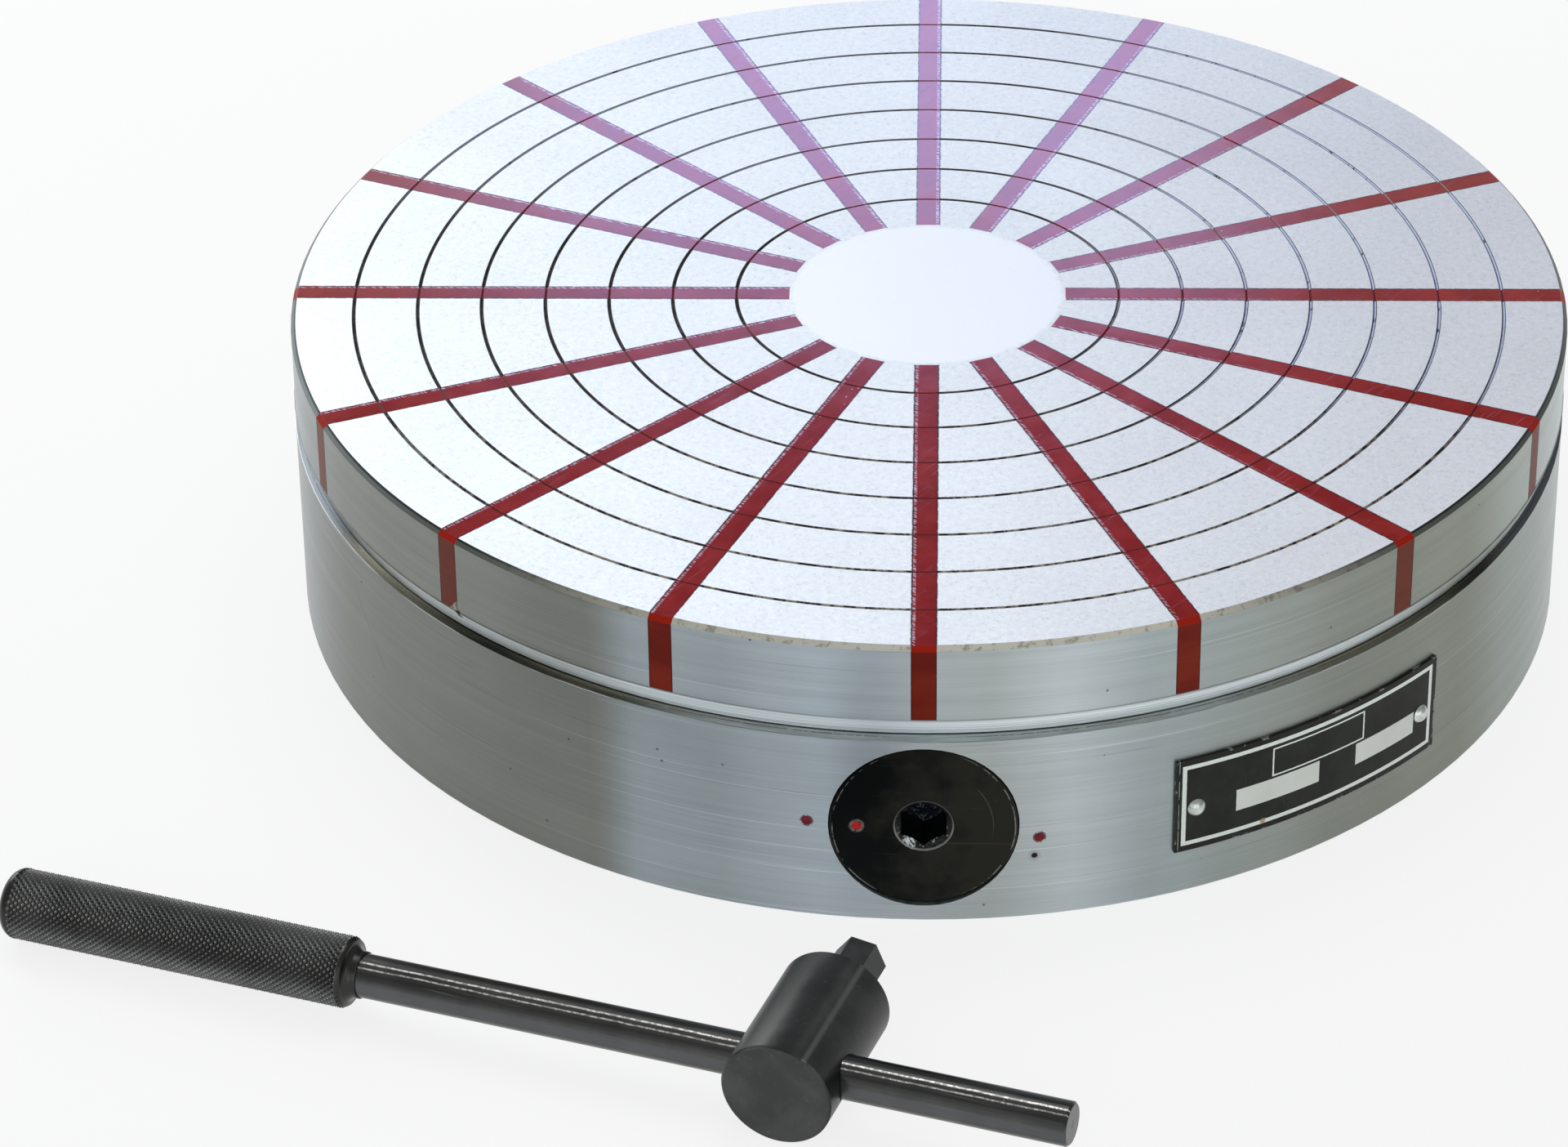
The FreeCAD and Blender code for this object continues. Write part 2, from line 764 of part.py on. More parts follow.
def along(shape, axis):
    """Lays a shape made about Z along the key's X or Y axis."""
    copy = shape.copy()
    if axis == "x":
        copy.rotate(vector(0, 0, 0), vector(0, 1, 0), 90)
    else:
        copy.rotate(vector(0, 0, 0), vector(1, 0, 0), -90)
    return copy


def key_head():
    """The turned head with its milled hexagon, and the countersunk cross hole."""
    near = -key_bar_setback
    far = near + key_head_length
    cylinder = turned([
        (0, near),
        (key_head_radius - key_head_chamfer, near),
        (key_head_radius, near + key_head_chamfer),
        (key_head_radius, far - key_head_chamfer),
        (key_head_radius - key_head_chamfer, far),
        (0, far),
    ])
    tongue = spun(hexagon(key_hex_flats, far, far + key_hex_length), key_hex_turn)
    body = along(cylinder.fuse(tongue), "y")
    hole_radius = key_bar_dia / 2 + seat_gap
    reach = key_head_radius + cut_over
    bevel = key_hole_chamfer + cut_over
    cross_hole = disc(hole_radius, -reach, reach)
    mouth = turned([(0, key_head_radius - key_hole_chamfer), (hole_radius, key_head_radius - key_hole_chamfer),
                    (hole_radius + bevel, reach), (0, reach)])
    other_mouth = mouth.mirror(vector(0, 0, 0), vector(0, 0, 1))
    cutter = along(cross_hole.fuse([mouth, other_mouth]), "x")
    return key_place(body.cut(cutter))


def key_bar():
    start = -(grip_start + grip_bore_depth)
    radius = key_bar_dia / 2
    bar = turned([
        (0, start),
        (radius, start),
        (radius, key_bar_reach - key_bar_chamfer),
        (radius - key_bar_chamfer, key_bar_reach),
        (0, key_bar_reach),
    ])
    return key_place(along(bar, "x"))


def key_grip():
    """The grip: a necked shoulder, the cylinder that carries the knurl, and a rounded end."""
    bore = key_bar_dia / 2 + seat_gap
    neck = key_bar_dia / 2 + grip_neck_wall
    shoulder = key_grip_radius - (grip_shoulder - grip_start - grip_neck_radius) * grip_shoulder_slope
    neck_end = vector(neck, 0, grip_start + grip_neck_land)
    throat_end = vector(shoulder, 0, neck_end.z + grip_neck_radius)
    throat_turn = radians(45)
    throat_mid = vector(neck + (shoulder - neck) * (1 - cos(throat_turn)), 0,
                        neck_end.z + grip_neck_radius * sin(throat_turn))
    round_start = vector(key_grip_radius, 0, grip_end - grip_end_round)
    round_end = vector(key_grip_radius - grip_end_round, 0, grip_end)
    round_mid = vector(key_grip_radius - grip_end_round * (1 - cos(pi / 4)), 0,
                       grip_end - grip_end_round * (1 - sin(pi / 4)))
    bore_end = grip_start + grip_bore_depth
    corners = [
        vector(bore, 0, grip_start),
        vector(neck, 0, grip_start),
        neck_end,
    ]
    edges = list(Part.makePolygon(corners).Edges)
    edges.append(Part.Arc(neck_end, throat_mid, throat_end).toShape())
    edges += Part.makePolygon([throat_end, vector(key_grip_radius, 0, grip_shoulder), round_start]).Edges
    edges.append(Part.Arc(round_start, round_mid, round_end).toShape())
    edges += Part.makePolygon([round_end, vector(0, 0, grip_end), vector(0, 0, bore_end),
                               vector(bore, 0, bore_end), vector(bore, 0, grip_start)]).Edges
    face = Part.Face(Part.Wire(edges))
    grip = face.revolve(vector(0, 0, 0), vector(0, 0, 1), 360)
    return key_place(along(grip, "x").mirror(vector(0, 0, 0), vector(1, 0, 0)))


def build():
    blank = plate_blank()
    slots = pole_slots()
    return {
        "base": base(),
        "pole_plate": pole_plate(blank, slots),
        "pole_separators": pole_separators(blank, slots),
        "plate_screws": plate_screws(),
        "plate_dowels": plate_dowels(),
        "joint_seal": joint_seal(),
        "centre_post": centre_post(),
        "centre_screw": centre_screw(),
        "thrust_washer": thrust_washer(),
        "actuator_bush": actuator_bush(),
        "stop_screw": stop_screw(),
        "index_dots": index_dots(),
        "nameplate": nameplate(),
        "nameplate_rivets": nameplate_rivets(),
        "actuator_shaft": actuator_shaft(),
        "actuator_seal": actuator_seal(),
        "actuator_dot": actuator_dot(),
        "eccentric_pin": eccentric_pin(),
        "pin_clip": pin_clip(),
        "drive_roller": drive_roller(),
        "rotor_plate": rotor_plate(),
        "rotor_core": rotor_core(),
        "rotor_bush": rotor_bush(),
        "rotor_poles": rotor_poles(),
        "rotor_magnets": rotor_magnets(),
        "rotor_band": rotor_band(),
        "rotor_screws": rotor_screws(),
        "drive_block": drive_block(),
        "drive_block_screws": drive_block_screws(),
        "key_head": key_head(),
        "key_bar": key_bar(),
        "key_grip": key_grip(),
    }


os.makedirs("parts", exist_ok=True)
for name, shape in build().items():
    box = shape.BoundBox
    print(f"{name:20s} solids {len(shape.Solids):3d} valid {shape.isValid()} volume {shape.Volume:12.1f} "
          f"x {box.XMin:8.2f} {box.XMax:8.2f} y {box.YMin:8.2f} {box.YMax:8.2f} z {box.ZMin:7.2f} {box.ZMax:7.2f}")
    shape.exportStep(f"parts/{name}.step")
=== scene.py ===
from math import asin, cos, pi, radians, sin

import bmesh
import bpy
from mathutils import Matrix, Quaternion, Vector


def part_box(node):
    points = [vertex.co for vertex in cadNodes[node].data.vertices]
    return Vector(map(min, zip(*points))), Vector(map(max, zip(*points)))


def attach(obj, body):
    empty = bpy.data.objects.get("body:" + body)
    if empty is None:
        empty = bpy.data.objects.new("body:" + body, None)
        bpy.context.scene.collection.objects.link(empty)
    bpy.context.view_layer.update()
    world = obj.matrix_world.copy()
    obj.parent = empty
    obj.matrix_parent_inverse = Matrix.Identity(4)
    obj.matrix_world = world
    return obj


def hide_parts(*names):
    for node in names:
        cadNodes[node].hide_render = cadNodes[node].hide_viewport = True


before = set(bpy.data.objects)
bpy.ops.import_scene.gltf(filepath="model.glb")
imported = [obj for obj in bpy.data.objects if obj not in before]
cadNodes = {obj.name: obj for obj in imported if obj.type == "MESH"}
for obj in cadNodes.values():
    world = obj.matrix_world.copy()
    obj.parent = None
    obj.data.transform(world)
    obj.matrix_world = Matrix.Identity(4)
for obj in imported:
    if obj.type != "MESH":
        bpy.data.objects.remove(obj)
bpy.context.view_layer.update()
scene = bpy.context.scene
mm = 0.001
print("frame loaded,", len(cadNodes), "nodes")


# Shader sums are written as plain expressions on wires

class Wire:
    def __init__(self, wiring, socket):
        self.wiring = wiring
        self.socket = socket

    def sum(self, operation, first, second):
        return self.wiring.node("Math", {"operation": operation}, {0: first, 1: second})

    def __add__(self, other):
        return self.sum("ADD", self, other)

    def __radd__(self, other):
        return self.sum("ADD", other, self)

    def __sub__(self, other):
        return self.sum("SUBTRACT", self, other)

    def __rsub__(self, other):
        return self.sum("SUBTRACT", other, self)

    def __mul__(self, other):
        return self.sum("MULTIPLY", self, other)

    def __rmul__(self, other):
        return self.sum("MULTIPLY", other, self)

    def __truediv__(self, other):
        return self.sum("DIVIDE", self, other)

    def __pow__(self, other):
        return self.sum("POWER", self, other)

    def __abs__(self):
        return self.wiring.node("Math", {"operation": "ABSOLUTE"}, {0: self})


class Wiring:
    def __init__(self, tree):
        self.tree = tree
        tree.nodes.clear()

    def node(self, kind, settings=None, sockets=None, out=0):
        made = self.tree.nodes.new("ShaderNode" + kind)
        for key, value in (settings or {}).items():
            if key == "stops":
                ramp = made.color_ramp.elements
                ramp.remove(ramp[1])
                ramp[0].position, ramp[0].color = value[0]
                for position, colour in value[1:]:
                    ramp.new(position).color = colour
            else:
                setattr(made, key, value)
        for key, value in (sockets or {}).items():
            if isinstance(value, Wire):
                self.tree.links.new(value.socket, made.inputs[key])
            else:
                made.inputs[key].default_value = value
        return Wire(self, made.outputs[out]) if made.outputs else made

    def step(self, value, low, high):  # 0 below low, 1 above high, smooth between
        return self.node("MapRange", {"interpolation_type": "SMOOTHSTEP"}, {0: value, 1: low, 2: high})

    def fade(self, value, low, high):  # 1 below low, 0 above high
        return 1 - self.step(value, low, high)

    def between(self, value, low, high, soft):
        return self.step(value, low - soft, low + soft) * self.fade(value, high - soft, high + soft)

    def spans(self, value, limits):  # each is from, to, fade and share
        return sum(self.between(value, low, high, soft) * share for low, high, soft, share in limits)

    def repeat(self, value):  # -0.5 to 0.5, over and over
        return self.node("Math", {"operation": "FRACT"}, {0: value + 0.5}) - 0.5

    def far(self, first, second):  # distance from the middle, in the plane of two axes
        return (first * first + second * second) ** 0.5

    def angle(self, first, second):  # in degrees
        return self.node("Math", {"operation": "ARCTAN2"}, {0: first, 1: second}) * (180 / pi)

    def mix(self, share, first, second):
        first, second = (value if isinstance(value, Wire) else (*value, 1.0) for value in (first, second))
        return self.node("Mix", {"data_type": "RGBA"}, {0: share, 6: first, 7: second}, 2)

    def layered(self, colour, *layers):  # each layer is a share and the colour it adds
        for share, added in layers:
            colour = self.mix(share, colour, added)
        return colour


class Finish(Wiring):  # a material, with the patterns that several finishes share
    def __init__(self, name):
        self.material = bpy.data.materials.new(name)
        self.material.use_nodes = True
        super().__init__(self.material.node_tree)
        self.place = self.node("TexCoord", out="Object")
        self.x, self.y, self.z = (self.node("SeparateXYZ", sockets={0: self.place}, out=axis) for axis in "XYZ")

    def turned(self, angle):  # the place, turned about the upright axis
        return self.node("VectorRotate", {"rotation_type": "Z_AXIS"},
                         {"Vector": self.place, "Angle": radians(angle)})

    def noise(self, scale, detail=2.0, roughness=0.5, at=None, shift=(0.0, 0.0, 0.0)):
        place = self.node("VectorMath", {"operation": "MULTIPLY_ADD"},
                          {0: at or self.place, 1: scale, 2: shift})
        return self.node("TexNoise", sockets={"Vector": place, "Scale": 1.0, "Detail": detail,
                                              "Roughness": roughness})

    def specks(self, spacing, size, share):  # round specks, in only a share of the cells
        place = self.node("VectorMath", {"operation": "SCALE"}, {0: self.place, "Scale": 1 / spacing})
        cells = {"Vector": place, "Scale": 1.0, "Randomness": 1.0}
        distance = self.node("TexVoronoi", sockets=cells, out="Distance")
        tint = self.node("TexVoronoi", sockets=cells, out="Color")
        pick = self.node("SeparateColor", sockets={0: tint}, out="Red")
        edge = size / spacing
        return self.fade(distance, edge * 0.6, edge) * self.step(pick, 1 - share, 1.001 - share)

    def scratches(self, angle, length, width, low, high, shift=0.0):  # fine lines across the face
        scale = (1 / length, 1 / width, 1 / length)
        return self.step(self.noise(scale, 1.0, 0.5, self.turned(angle), (shift, shift, shift)), low, high)

    def scaled(self, colour, tone):
        return self.node("VectorMath", {"operation": "SCALE"}, {0: colour, "Scale": tone})

    def bump(self, height, depth):
        return self.node("Bump", sockets={"Strength": 1.0, "Distance": depth, "Height": height})

    def shader(self, colour, roughness, metallic, normal=None, **plain):
        sockets = {"Base Color": colour, "Roughness": roughness, "Metallic": metallic}
        sockets.update({name.replace("_", " "): value for name, value in plain.items()})
        if normal is not None:
            sockets["Normal"] = normal
        return self.node("BsdfPrincipled", sockets=sockets)

    def done(self, shader):
        self.node("OutputMaterial", sockets={"Surface": shader})
        return self.material


def paint(material, *names):
    for name in names:
        piece = cadNodes[name]
        if piece.material_slots:
            for materialSlot in piece.material_slots:
                materialSlot.material = material
        else:
            piece.data.materials.append(material)


# Camera, as the photograph was taken

cameraSettings = {
    "place": (0.0054, -1.2062, 0.7809),
    "aim": (-0.0329, -0.0556, 0.0300),
    "roll": -0.817,  # degrees
    "lens": 136.14,  # mm, on a sensor 36 mm wide
}


def makeCamera():
    data = bpy.data.cameras.new("camera")
    data.sensor_width = 36.0
    data.lens = cameraSettings["lens"]
    data.clip_start, data.clip_end = 0.05, 50.0
    camera = bpy.data.objects.new("camera", data)
    scene.collection.objects.link(camera)
    place, aim = Vector(cameraSettings["place"]), Vector(cameraSettings["aim"])
    back = (place - aim).normalized()
    roll = Quaternion(back, radians(cameraSettings["roll"]))
    camera.location = place
    camera.rotation_euler = (roll @ (-back).to_track_quat("-Z", "Y")).to_euler()
    scene.camera = camera


# Studio: a white floor that keeps a faint shadow, soft lamps, and a sky with a low window behind

studio = {
    "floorRadius": 8.0,
    "floorDrop": 0.2 * mm,
    "floorColour": (0.93, 0.93, 0.93),
    "floorGlow": (0.82, 0.64),  # share of the floor that is plain white to the camera, and in mirror images
    "roundabout": [  # azimuth in degrees, then the sky's colour at eye level
        (-180, (0.30, 0.31, 0.29)), (-150, (0.30, 0.31, 0.28)), (-120, (0.66, 0.70, 0.70)),
        (-94, (1.50, 1.70, 1.85)), (-66, (1.00, 1.08, 1.08)), (-25, (0.30, 0.31, 0.28)),
        (20, (0.30, 0.31, 0.29)), (60, (0.28, 0.29, 0.30)), (84, (0.60, 0.62, 0.64)),
        (98, (1.50, 1.58, 1.64)), (115, (1.10, 1.16, 1.20)), (145, (0.60, 0.63, 0.66)),
        (180, (0.30, 0.31, 0.29)),
    ],
    "overhead": (0.40, 0.40, 0.40),
    "overheadRise": (0.30, 0.75),  # sines of the heights between which it takes over
    "window": (2.8, 3.4, 6.4),  # low behind, so that only the back of the face mirrors its glare
    "windowTurn": (85.5, 88.5, 93.0, 97.0),  # azimuths in degrees between which it fades in and out
    "windowRise": (18.0, 21.0, 29.3, 31.2),  # heights above eye level, in degrees too
    "darkBack": (0.05, 0.05, 0.055),  # above the window
    "darkTurn": (0.86, 0.96),  # sines of the azimuths between which it fades in
    "darkTop": (42.0, 55.0),  # degrees, where it fades out upwards
    "lamps": {  # place, aim, size, radiance and colour
        "backLeft": ((-0.66, 0.75, 0.62), (0.0, 0.0, 0.07), (0.56, 0.6), 3.9, (0.93, 0.97, 1.0)),
        "over": ((0.10, 0.30, 1.25), (0.0, 0.0, 0.0), (0.8, 0.6), 2.1, (1.0, 1.0, 1.0)),
        "frontLeft": ((-0.75, -1.15, 0.45), (0.0, 0.0, 0.03), (0.16, 0.7), 1.2, (0.97, 1.0, 1.0)),
        "frontRight": ((0.75, -1.05, 0.4), (0.0, 0.0, 0.03), (0.2, 0.6), 1.2, (0.97, 1.0, 1.0)),
    },
}


def makeStudio():
    world = bpy.data.worlds.new("studioSky")
    scene.world = world
    world.use_nodes = True
    sky = Wiring(world.node_tree)
    direction = sky.node("TexCoord", out="Generated")
    x, y, z = (sky.node("SeparateXYZ", sockets={0: direction}, out=axis) for axis in "XYZ")
    azimuth = sky.angle(y, x)
    stops = [((degree + 180) / 360, (*colour, 1.0)) for degree, colour in studio["roundabout"]]
    around = sky.node("ValToRGB", {"stops": stops}, {0: azimuth / 360 + 0.5})

    def inside(value, limits):
        return sky.step(value, limits[0], limits[1]) * sky.fade(value, limits[2], limits[3])

    heights = [sin(radians(degree)) for degree in studio["windowRise"]]
    belowTop = sky.fade(z, *(sin(radians(degree)) for degree in studio["darkTop"]))
    behind = sky.step(y / (x * x + y * y + 1e-6) ** 0.5, *studio["darkTurn"])
    colour = sky.layered(
        around,
        (sky.step(z, *studio["overheadRise"]), studio["overhead"]),
        (sky.step(z, heights[2], heights[3]) * belowTop * behind, studio["darkBack"]),
        (inside(azimuth, studio["windowTurn"]) * inside(z, heights), studio["window"]))
    sky.node("OutputWorld", sockets={"Surface": sky.node("Background", sockets={"Color": colour})})

    shell = bmesh.new()
    bmesh.ops.create_circle(shell, cap_ends=True, segments=64, radius=studio["floorRadius"])
    bmesh.ops.translate(shell, verts=shell.verts, vec=(0, 0, -studio["floorDrop"]))
    mesh = bpy.data.meshes.new("floor")
    shell.to_mesh(mesh)
    shell.free()
    floor = bpy.data.objects.new("floor", mesh)
    scene.collection.objects.link(floor)
    ground = Finish("whiteFloor")
    dust = ground.noise((6, 6, 6), 2.0)
    matt = ground.shader(ground.scaled(studio["floorColour"], 0.99 + dust * 0.02), 0.9, 0.0,
                         Specular_IOR_Level=0.1)
    rays = [ground.node("LightPath", out=f"Is {kind} Ray") for kind in ("Camera", "Glossy", "Transmission")]
    glow = ground.node("Emission", sockets={"Color": (1.0, 1.0, 1.0, 1.0), "Strength": 1.0})
    share = rays[0] * studio["floorGlow"][0] + (rays[1] + rays[2]) * studio["floorGlow"][1]
    mesh.materials.append(ground.done(ground.node("MixShader", sockets={0: share, 1: matt, 2: glow})))

    for name, (place, aim, size, radiance, tint) in studio["lamps"].items():
        data = bpy.data.lights.new(name, "AREA")
        data.shape = "RECTANGLE"
        data.size, data.size_y = size
        data.energy = radiance * pi * size[0] * size[1]
        data.color = tint
        lamp = bpy.data.objects.new(name, data)
        scene.collection.objects.link(lamp)
        lamp.location = place
        lamp.rotation_euler = (Vector(aim) - Vector(place)).to_track_quat("-Z", "Y").to_euler()


makeCamera()
makeStudio()
print("camera and studio made")


# Chuck: places that its finishes share, read from the frame where it has them

plateLow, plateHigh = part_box("pole_plate")
chuck = {
    "radius": plateHigh.x,
    "degree": radians(1) * plateHigh.x,  # length of one degree of the wall
    "top": plateHigh.z,
    "joint": plateLow.z,
    "poleGaps": 16,
    "gapHalf": 2.8 * mm,
    "gapStart": 32.5 * mm,
    "firstRing": 45.0 * mm,
    "ringPitch": 15.0 * mm,
    "lastRing": 136.0 * mm,
    "reflectionBands": [  # degrees round the wall, then the steel's tone with painted reflection bands: cold and light in front, olive and dull beside
        (-180, (0.38, 0.40, 0.40)), (-166, (0.33, 0.35, 0.35)), (-151, (0.24, 0.25, 0.23)),
        (-119, (0.24, 0.25, 0.23)), (-115, (0.38, 0.43, 0.46)), (-107, (0.36, 0.41, 0.43)),
        (-98, (0.46, 0.52, 0.57)), (-84, (0.41, 0.44, 0.43)), (-78, (0.50, 0.55, 0.57)),
        (-71, (0.35, 0.40, 0.41)), (-64, (0.34, 0.38, 0.37)), (-54, (0.29, 0.31, 0.28)),
        (-36, (0.26, 0.28, 0.24)), (-22, (0.37, 0.41, 0.39)), (-8, (0.50, 0.54, 0.54)),
        (40, (0.36, 0.38, 0.36)), (75, (0.46, 0.50, 0.52)), (100, (0.34, 0.36, 0.35)),
        (135, (0.42, 0.45, 0.46)), (160, (0.32, 0.34, 0.33)), (180, (0.38, 0.40, 0.40)),
    ],
}


def radiusOf(finish):
    return finish.far(finish.x, finish.y)


def turnOf(finish):  # degrees about the chuck's axis, -90 at the disc
    return finish.angle(finish.y, finish.x)


def acrossGap(finish):  # how far a point lies from the middle line of its pole gap
    pitch = 360 / chuck["poleGaps"]
    share = finish.repeat((turnOf(finish) + 90) / pitch)
    return radiusOf(finish) * finish.node("Math", {"operation": "SINE"}, {0: share * radians(pitch)})


def beyondRings(finish, radius):
    return finish.step(radius, chuck["lastRing"], chuck["lastRing"] + 1 * mm)


def turnedWall(finish):
    # Lathe streaks round the wall, soft upright bands of painted reflection, broad and narrow, light lines,
    # thin scratches, pits and marks
    fine = finish.noise((14, 14, 3600), 3.0, 0.6)
    wide = finish.noise((5, 5, 520), 2.0, 0.5)
    uprightSheen = finish.noise((17, 17, 3), 2.0, 0.5)
    narrow = finish.noise((46, 46, 2), 1.0, 0.5, shift=(3, 5, 0))
    cloud = finish.noise((40, 40, 70), 3.0, 0.55)
    line = finish.step(finish.noise((9, 9, 1500), 1.0, 0.5), 0.66, 0.74)
    darkLine = finish.step(finish.noise((22, 22, 1900), 1.0, 0.5, shift=(1, 2, 3)), 0.68, 0.76)
    pit = finish.specks(7 * mm, 0.40 * mm, 0.40)
    mark = finish.specks(31 * mm, 0.8 * mm, 0.35) * finish.step(finish.noise((900, 900, 900), 2.0), 0.42, 0.55)
    tone = 0.42 + fine * 0.30 + wide * 0.22 + uprightSheen * 0.34 + narrow * 0.12 + cloud * 0.18
    tone = tone * (1 + line * 0.22 - darkLine * 0.18) * (1 - pit * 0.6) * (1 - mark * 0.4)
    # Painted reflection bands: the steel's tone changes with the angle round the wall
    reflectionBands = [((turn + 180) / 360, (*tint, 1.0)) for turn, tint in chuck["reflectionBands"]]
    colour = finish.node("ValToRGB", {"stops": reflectionBands}, {0: turnOf(finish) / 360 + 0.5})
    roughness = 0.30 + fine * 0.14 + cloud * 0.06
    height = fine * 0.7 + wide * 0.3 - pit * 2.0
    return colour, tone, roughness, height


def turnedMetal(finish, face, roughness, height):
    return finish.shader(face, roughness, 1.0, finish.bump(height, 0.02 * mm), Anisotropic=0.7,
                         Anisotropic_Rotation=0.25)


# Base: its wall, and the ledge under the joint

baseLook = {
    "rim": chuck["joint"] - 0.4 * mm,  # height of its top edge, under the joint's gap
    "ledgeDrop": 0.8 * mm,
    "ledgeFrom": 140 * mm,
    "stain": ((0.042, 0.043, 0.036), (0.105, 0.102, 0.080)),
    "brown": (0.21, 0.205, 0.165),
    "brownTurns": (-60, -40, 6.0),  # degrees from, to, and fade
    "goldenGlint": (0.46, 0.44, 0.33),
    "goldenGlintTurns": [(-150, -138, 4.0, 1.0), (-126, -108, 5.0, 0.7), (-62, -46, 6.0, 0.5)],  # and share
    "dull": (0.125, 0.135, 0.150),
    "clean": (0.47, 0.50, 0.49),
    "cleanTurns": (-112, -58, 6.0),
    "darkLine": (0.05, 0.05, 0.05),
    "lipGlintLine": ((0.70, 0.74, 0.74), (0.06, 0.065, 0.06)),  # painted highlight at the sides, and a dark line in front
    "seat": (0.018, 0.020, 0.026),
    "punch": (-80.66, 16.67 * mm),  # degrees round the wall, and height
    "punchColours": ((0.26, 0.20, 0.14), (0.02, 0.02, 0.04)),  # halo and mark
    "dots": [(-99.854, 25.61 * mm), (-80.248, 21.53 * mm)],
    "dotSoil": (0.08, 0.03, 0.03),
    "scratch": (-148.5, 32 * mm, 0.9),  # degrees round the wall, height, and lean
    "scratchHeights": (22 * mm, 38 * mm, 1 * mm),
    "scratchColour": (0.10, 0.09, 0.09),
}


def baseFinish():
    finish = Finish("turnedSteel")
    look = baseLook
    colour, tone, roughness, relief = turnedWall(finish)
    turn = turnOf(finish)
    rim = look["rim"]
    low = rim - look["ledgeDrop"]
    outside = finish.step(radiusOf(finish), look["ledgeFrom"], look["ledgeFrom"] + 1 * mm)
    stain = finish.noise((45, 45, 900), 3.0, 0.6)
    blotch = finish.noise((900, 900, 900), 3.0, 0.65)

    # The ledge: stained and brown in places, with painted golden glints, dull at the sides, clean in front with
    # a thin dark line
    inner = finish.step(finish.z, rim - 0.50 * mm, rim - 0.25 * mm)
    goldenGlint = finish.spans(turn, look["goldenGlintTurns"]) * (0.20 + inner * 0.80) * (0.5 + blotch * 0.5)
    sides = finish.fade(turn, -157, -149) + finish.step(turn, -34, -26)
    clean = finish.between(turn, *look["cleanTurns"])
    darkLine = finish.between(finish.z, rim - 0.34 * mm, rim - 0.24 * mm, 0.04 * mm)
    darkLine = darkLine * finish.step(blotch, 0.35, 0.5) * finish.step(abs(turn + 90), 1, 6)
    ledge = finish.layered(
        finish.mix(finish.step(stain, 0.40, 0.62), *look["stain"]),
        (finish.between(turn, *look["brownTurns"]) * 0.7, look["brown"]),
        (goldenGlint, look["goldenGlint"]),
        (sides, finish.scaled(look["dull"], 0.8 + stain * 0.4)),
        (clean * (0.70 + finish.step(stain, 0.4, 0.6) * 0.3), look["clean"]),
        (darkLine * 0.7, look["darkLine"]))

    # The wall, a line along its upper edge, and the seat inside, painted dark as shade in the gap
    # A painted highlight along the wall's upper edge at the sides, and a dark line there in front
    lipGlintLine = finish.between(finish.z, low - 0.20 * mm, low + 0.02 * mm, 0.05 * mm)
    lipGlintLine = lipGlintLine * finish.step(stain, 0.44, 0.56)
    face = finish.layered(
        finish.scaled(colour, tone * (0.94 + finish.step(turn, -112, -104) * 0.06)),
        (finish.step(finish.z, low, low + 0.06 * mm) * outside, ledge),
        (lipGlintLine * 0.6, finish.mix(clean, *look["lipGlintLine"])),
        (finish.step(finish.z, rim + 0.05 * mm, rim + 0.15 * mm) * outside, look["seat"]))

    # A punch mark in a brown halo, soil round the two dots, and one long scratch on the left
    def fromSpot(spot):
        return finish.far((turn - spot[0]) * chuck["degree"], finish.z - spot[1])

    fromPunch = fromSpot(look["punch"])
    halo = finish.fade(fromPunch + (blotch - 0.5) * 1.2 * mm, 0.7 * mm, 1.8 * mm)
    face = finish.layered(face, (halo * 0.45, look["punchColours"][0]),
                          (finish.fade(fromPunch, 0.60 * mm, 0.75 * mm), look["punchColours"][1]))
    for spot in look["dots"]:
        soiled = finish.fade(fromSpot(spot) + (blotch - 0.5) * 0.5 * mm, 1.45 * mm, 1.6 * mm)
        face = finish.mix(soiled * finish.step(blotch, 0.35, 0.5) * 0.8, face, look["dotSoil"])
    scratchTurn, height, lean = look["scratch"]
    slant = (turn - scratchTurn) * chuck["degree"] + (finish.z - height) * lean + (stain - 0.5) * 1.5 * mm
    scratch = finish.fade(abs(slant), 0.10 * mm, 0.25 * mm) * finish.between(finish.z, *look["scratchHeights"])
    face = finish.mix(scratch * 0.5, face, look["scratchColour"])
    return finish.done(turnedMetal(finish, face, roughness, relief))


# Pole plate: the ground face with its rings, the rim's chamfer, the wall and the band below it

plateLook = {
    "face": ((0.890, 0.920, 0.885), (0.800, 0.805, 0.775)),  # left and right: the left painted lighter, the right painted in shade, as the light falls
    "gapShadeLine": (0.10, 0.10, 0.12),
    "ringHalf": 0.40 * mm,
    "grooveTone": ((0.024, 0.020, 0.021), (0.42, 0.39, 0.33)),  # dark, and pale
    "ringGlare": (0.60, 0.66, 0.86),
    "chamfer": 1.1 * mm,
    "chamferPale": ((0.66, 0.64, 0.56), (0.24, 0.22, 0.17)),  # in front: clean, and with grime
    "chamferDull": ((0.135, 0.150, 0.140), (0.045, 0.050, 0.050)),  # at the sides, and at its upper edge
    "frontTurns": (-122, -54, 12.0),
    "bandHeight": 4.4 * mm,
    "bandSheenTurns": [(-143, -40, 5.0, 0.40), (-118, -46, 6.0, 0.40)],
    "band": (0.88, 0.96, 1.0),
    "bandShade": (0.075, 0.085, 0.095),
    "underline": (0.16, 0.16, 0.15),
    "crack": (0.05, 0.045, 0.04),
    "edgeHighlight": (0.85, 0.87, 0.90),
    "wallFrom": 148.6 * mm,
}


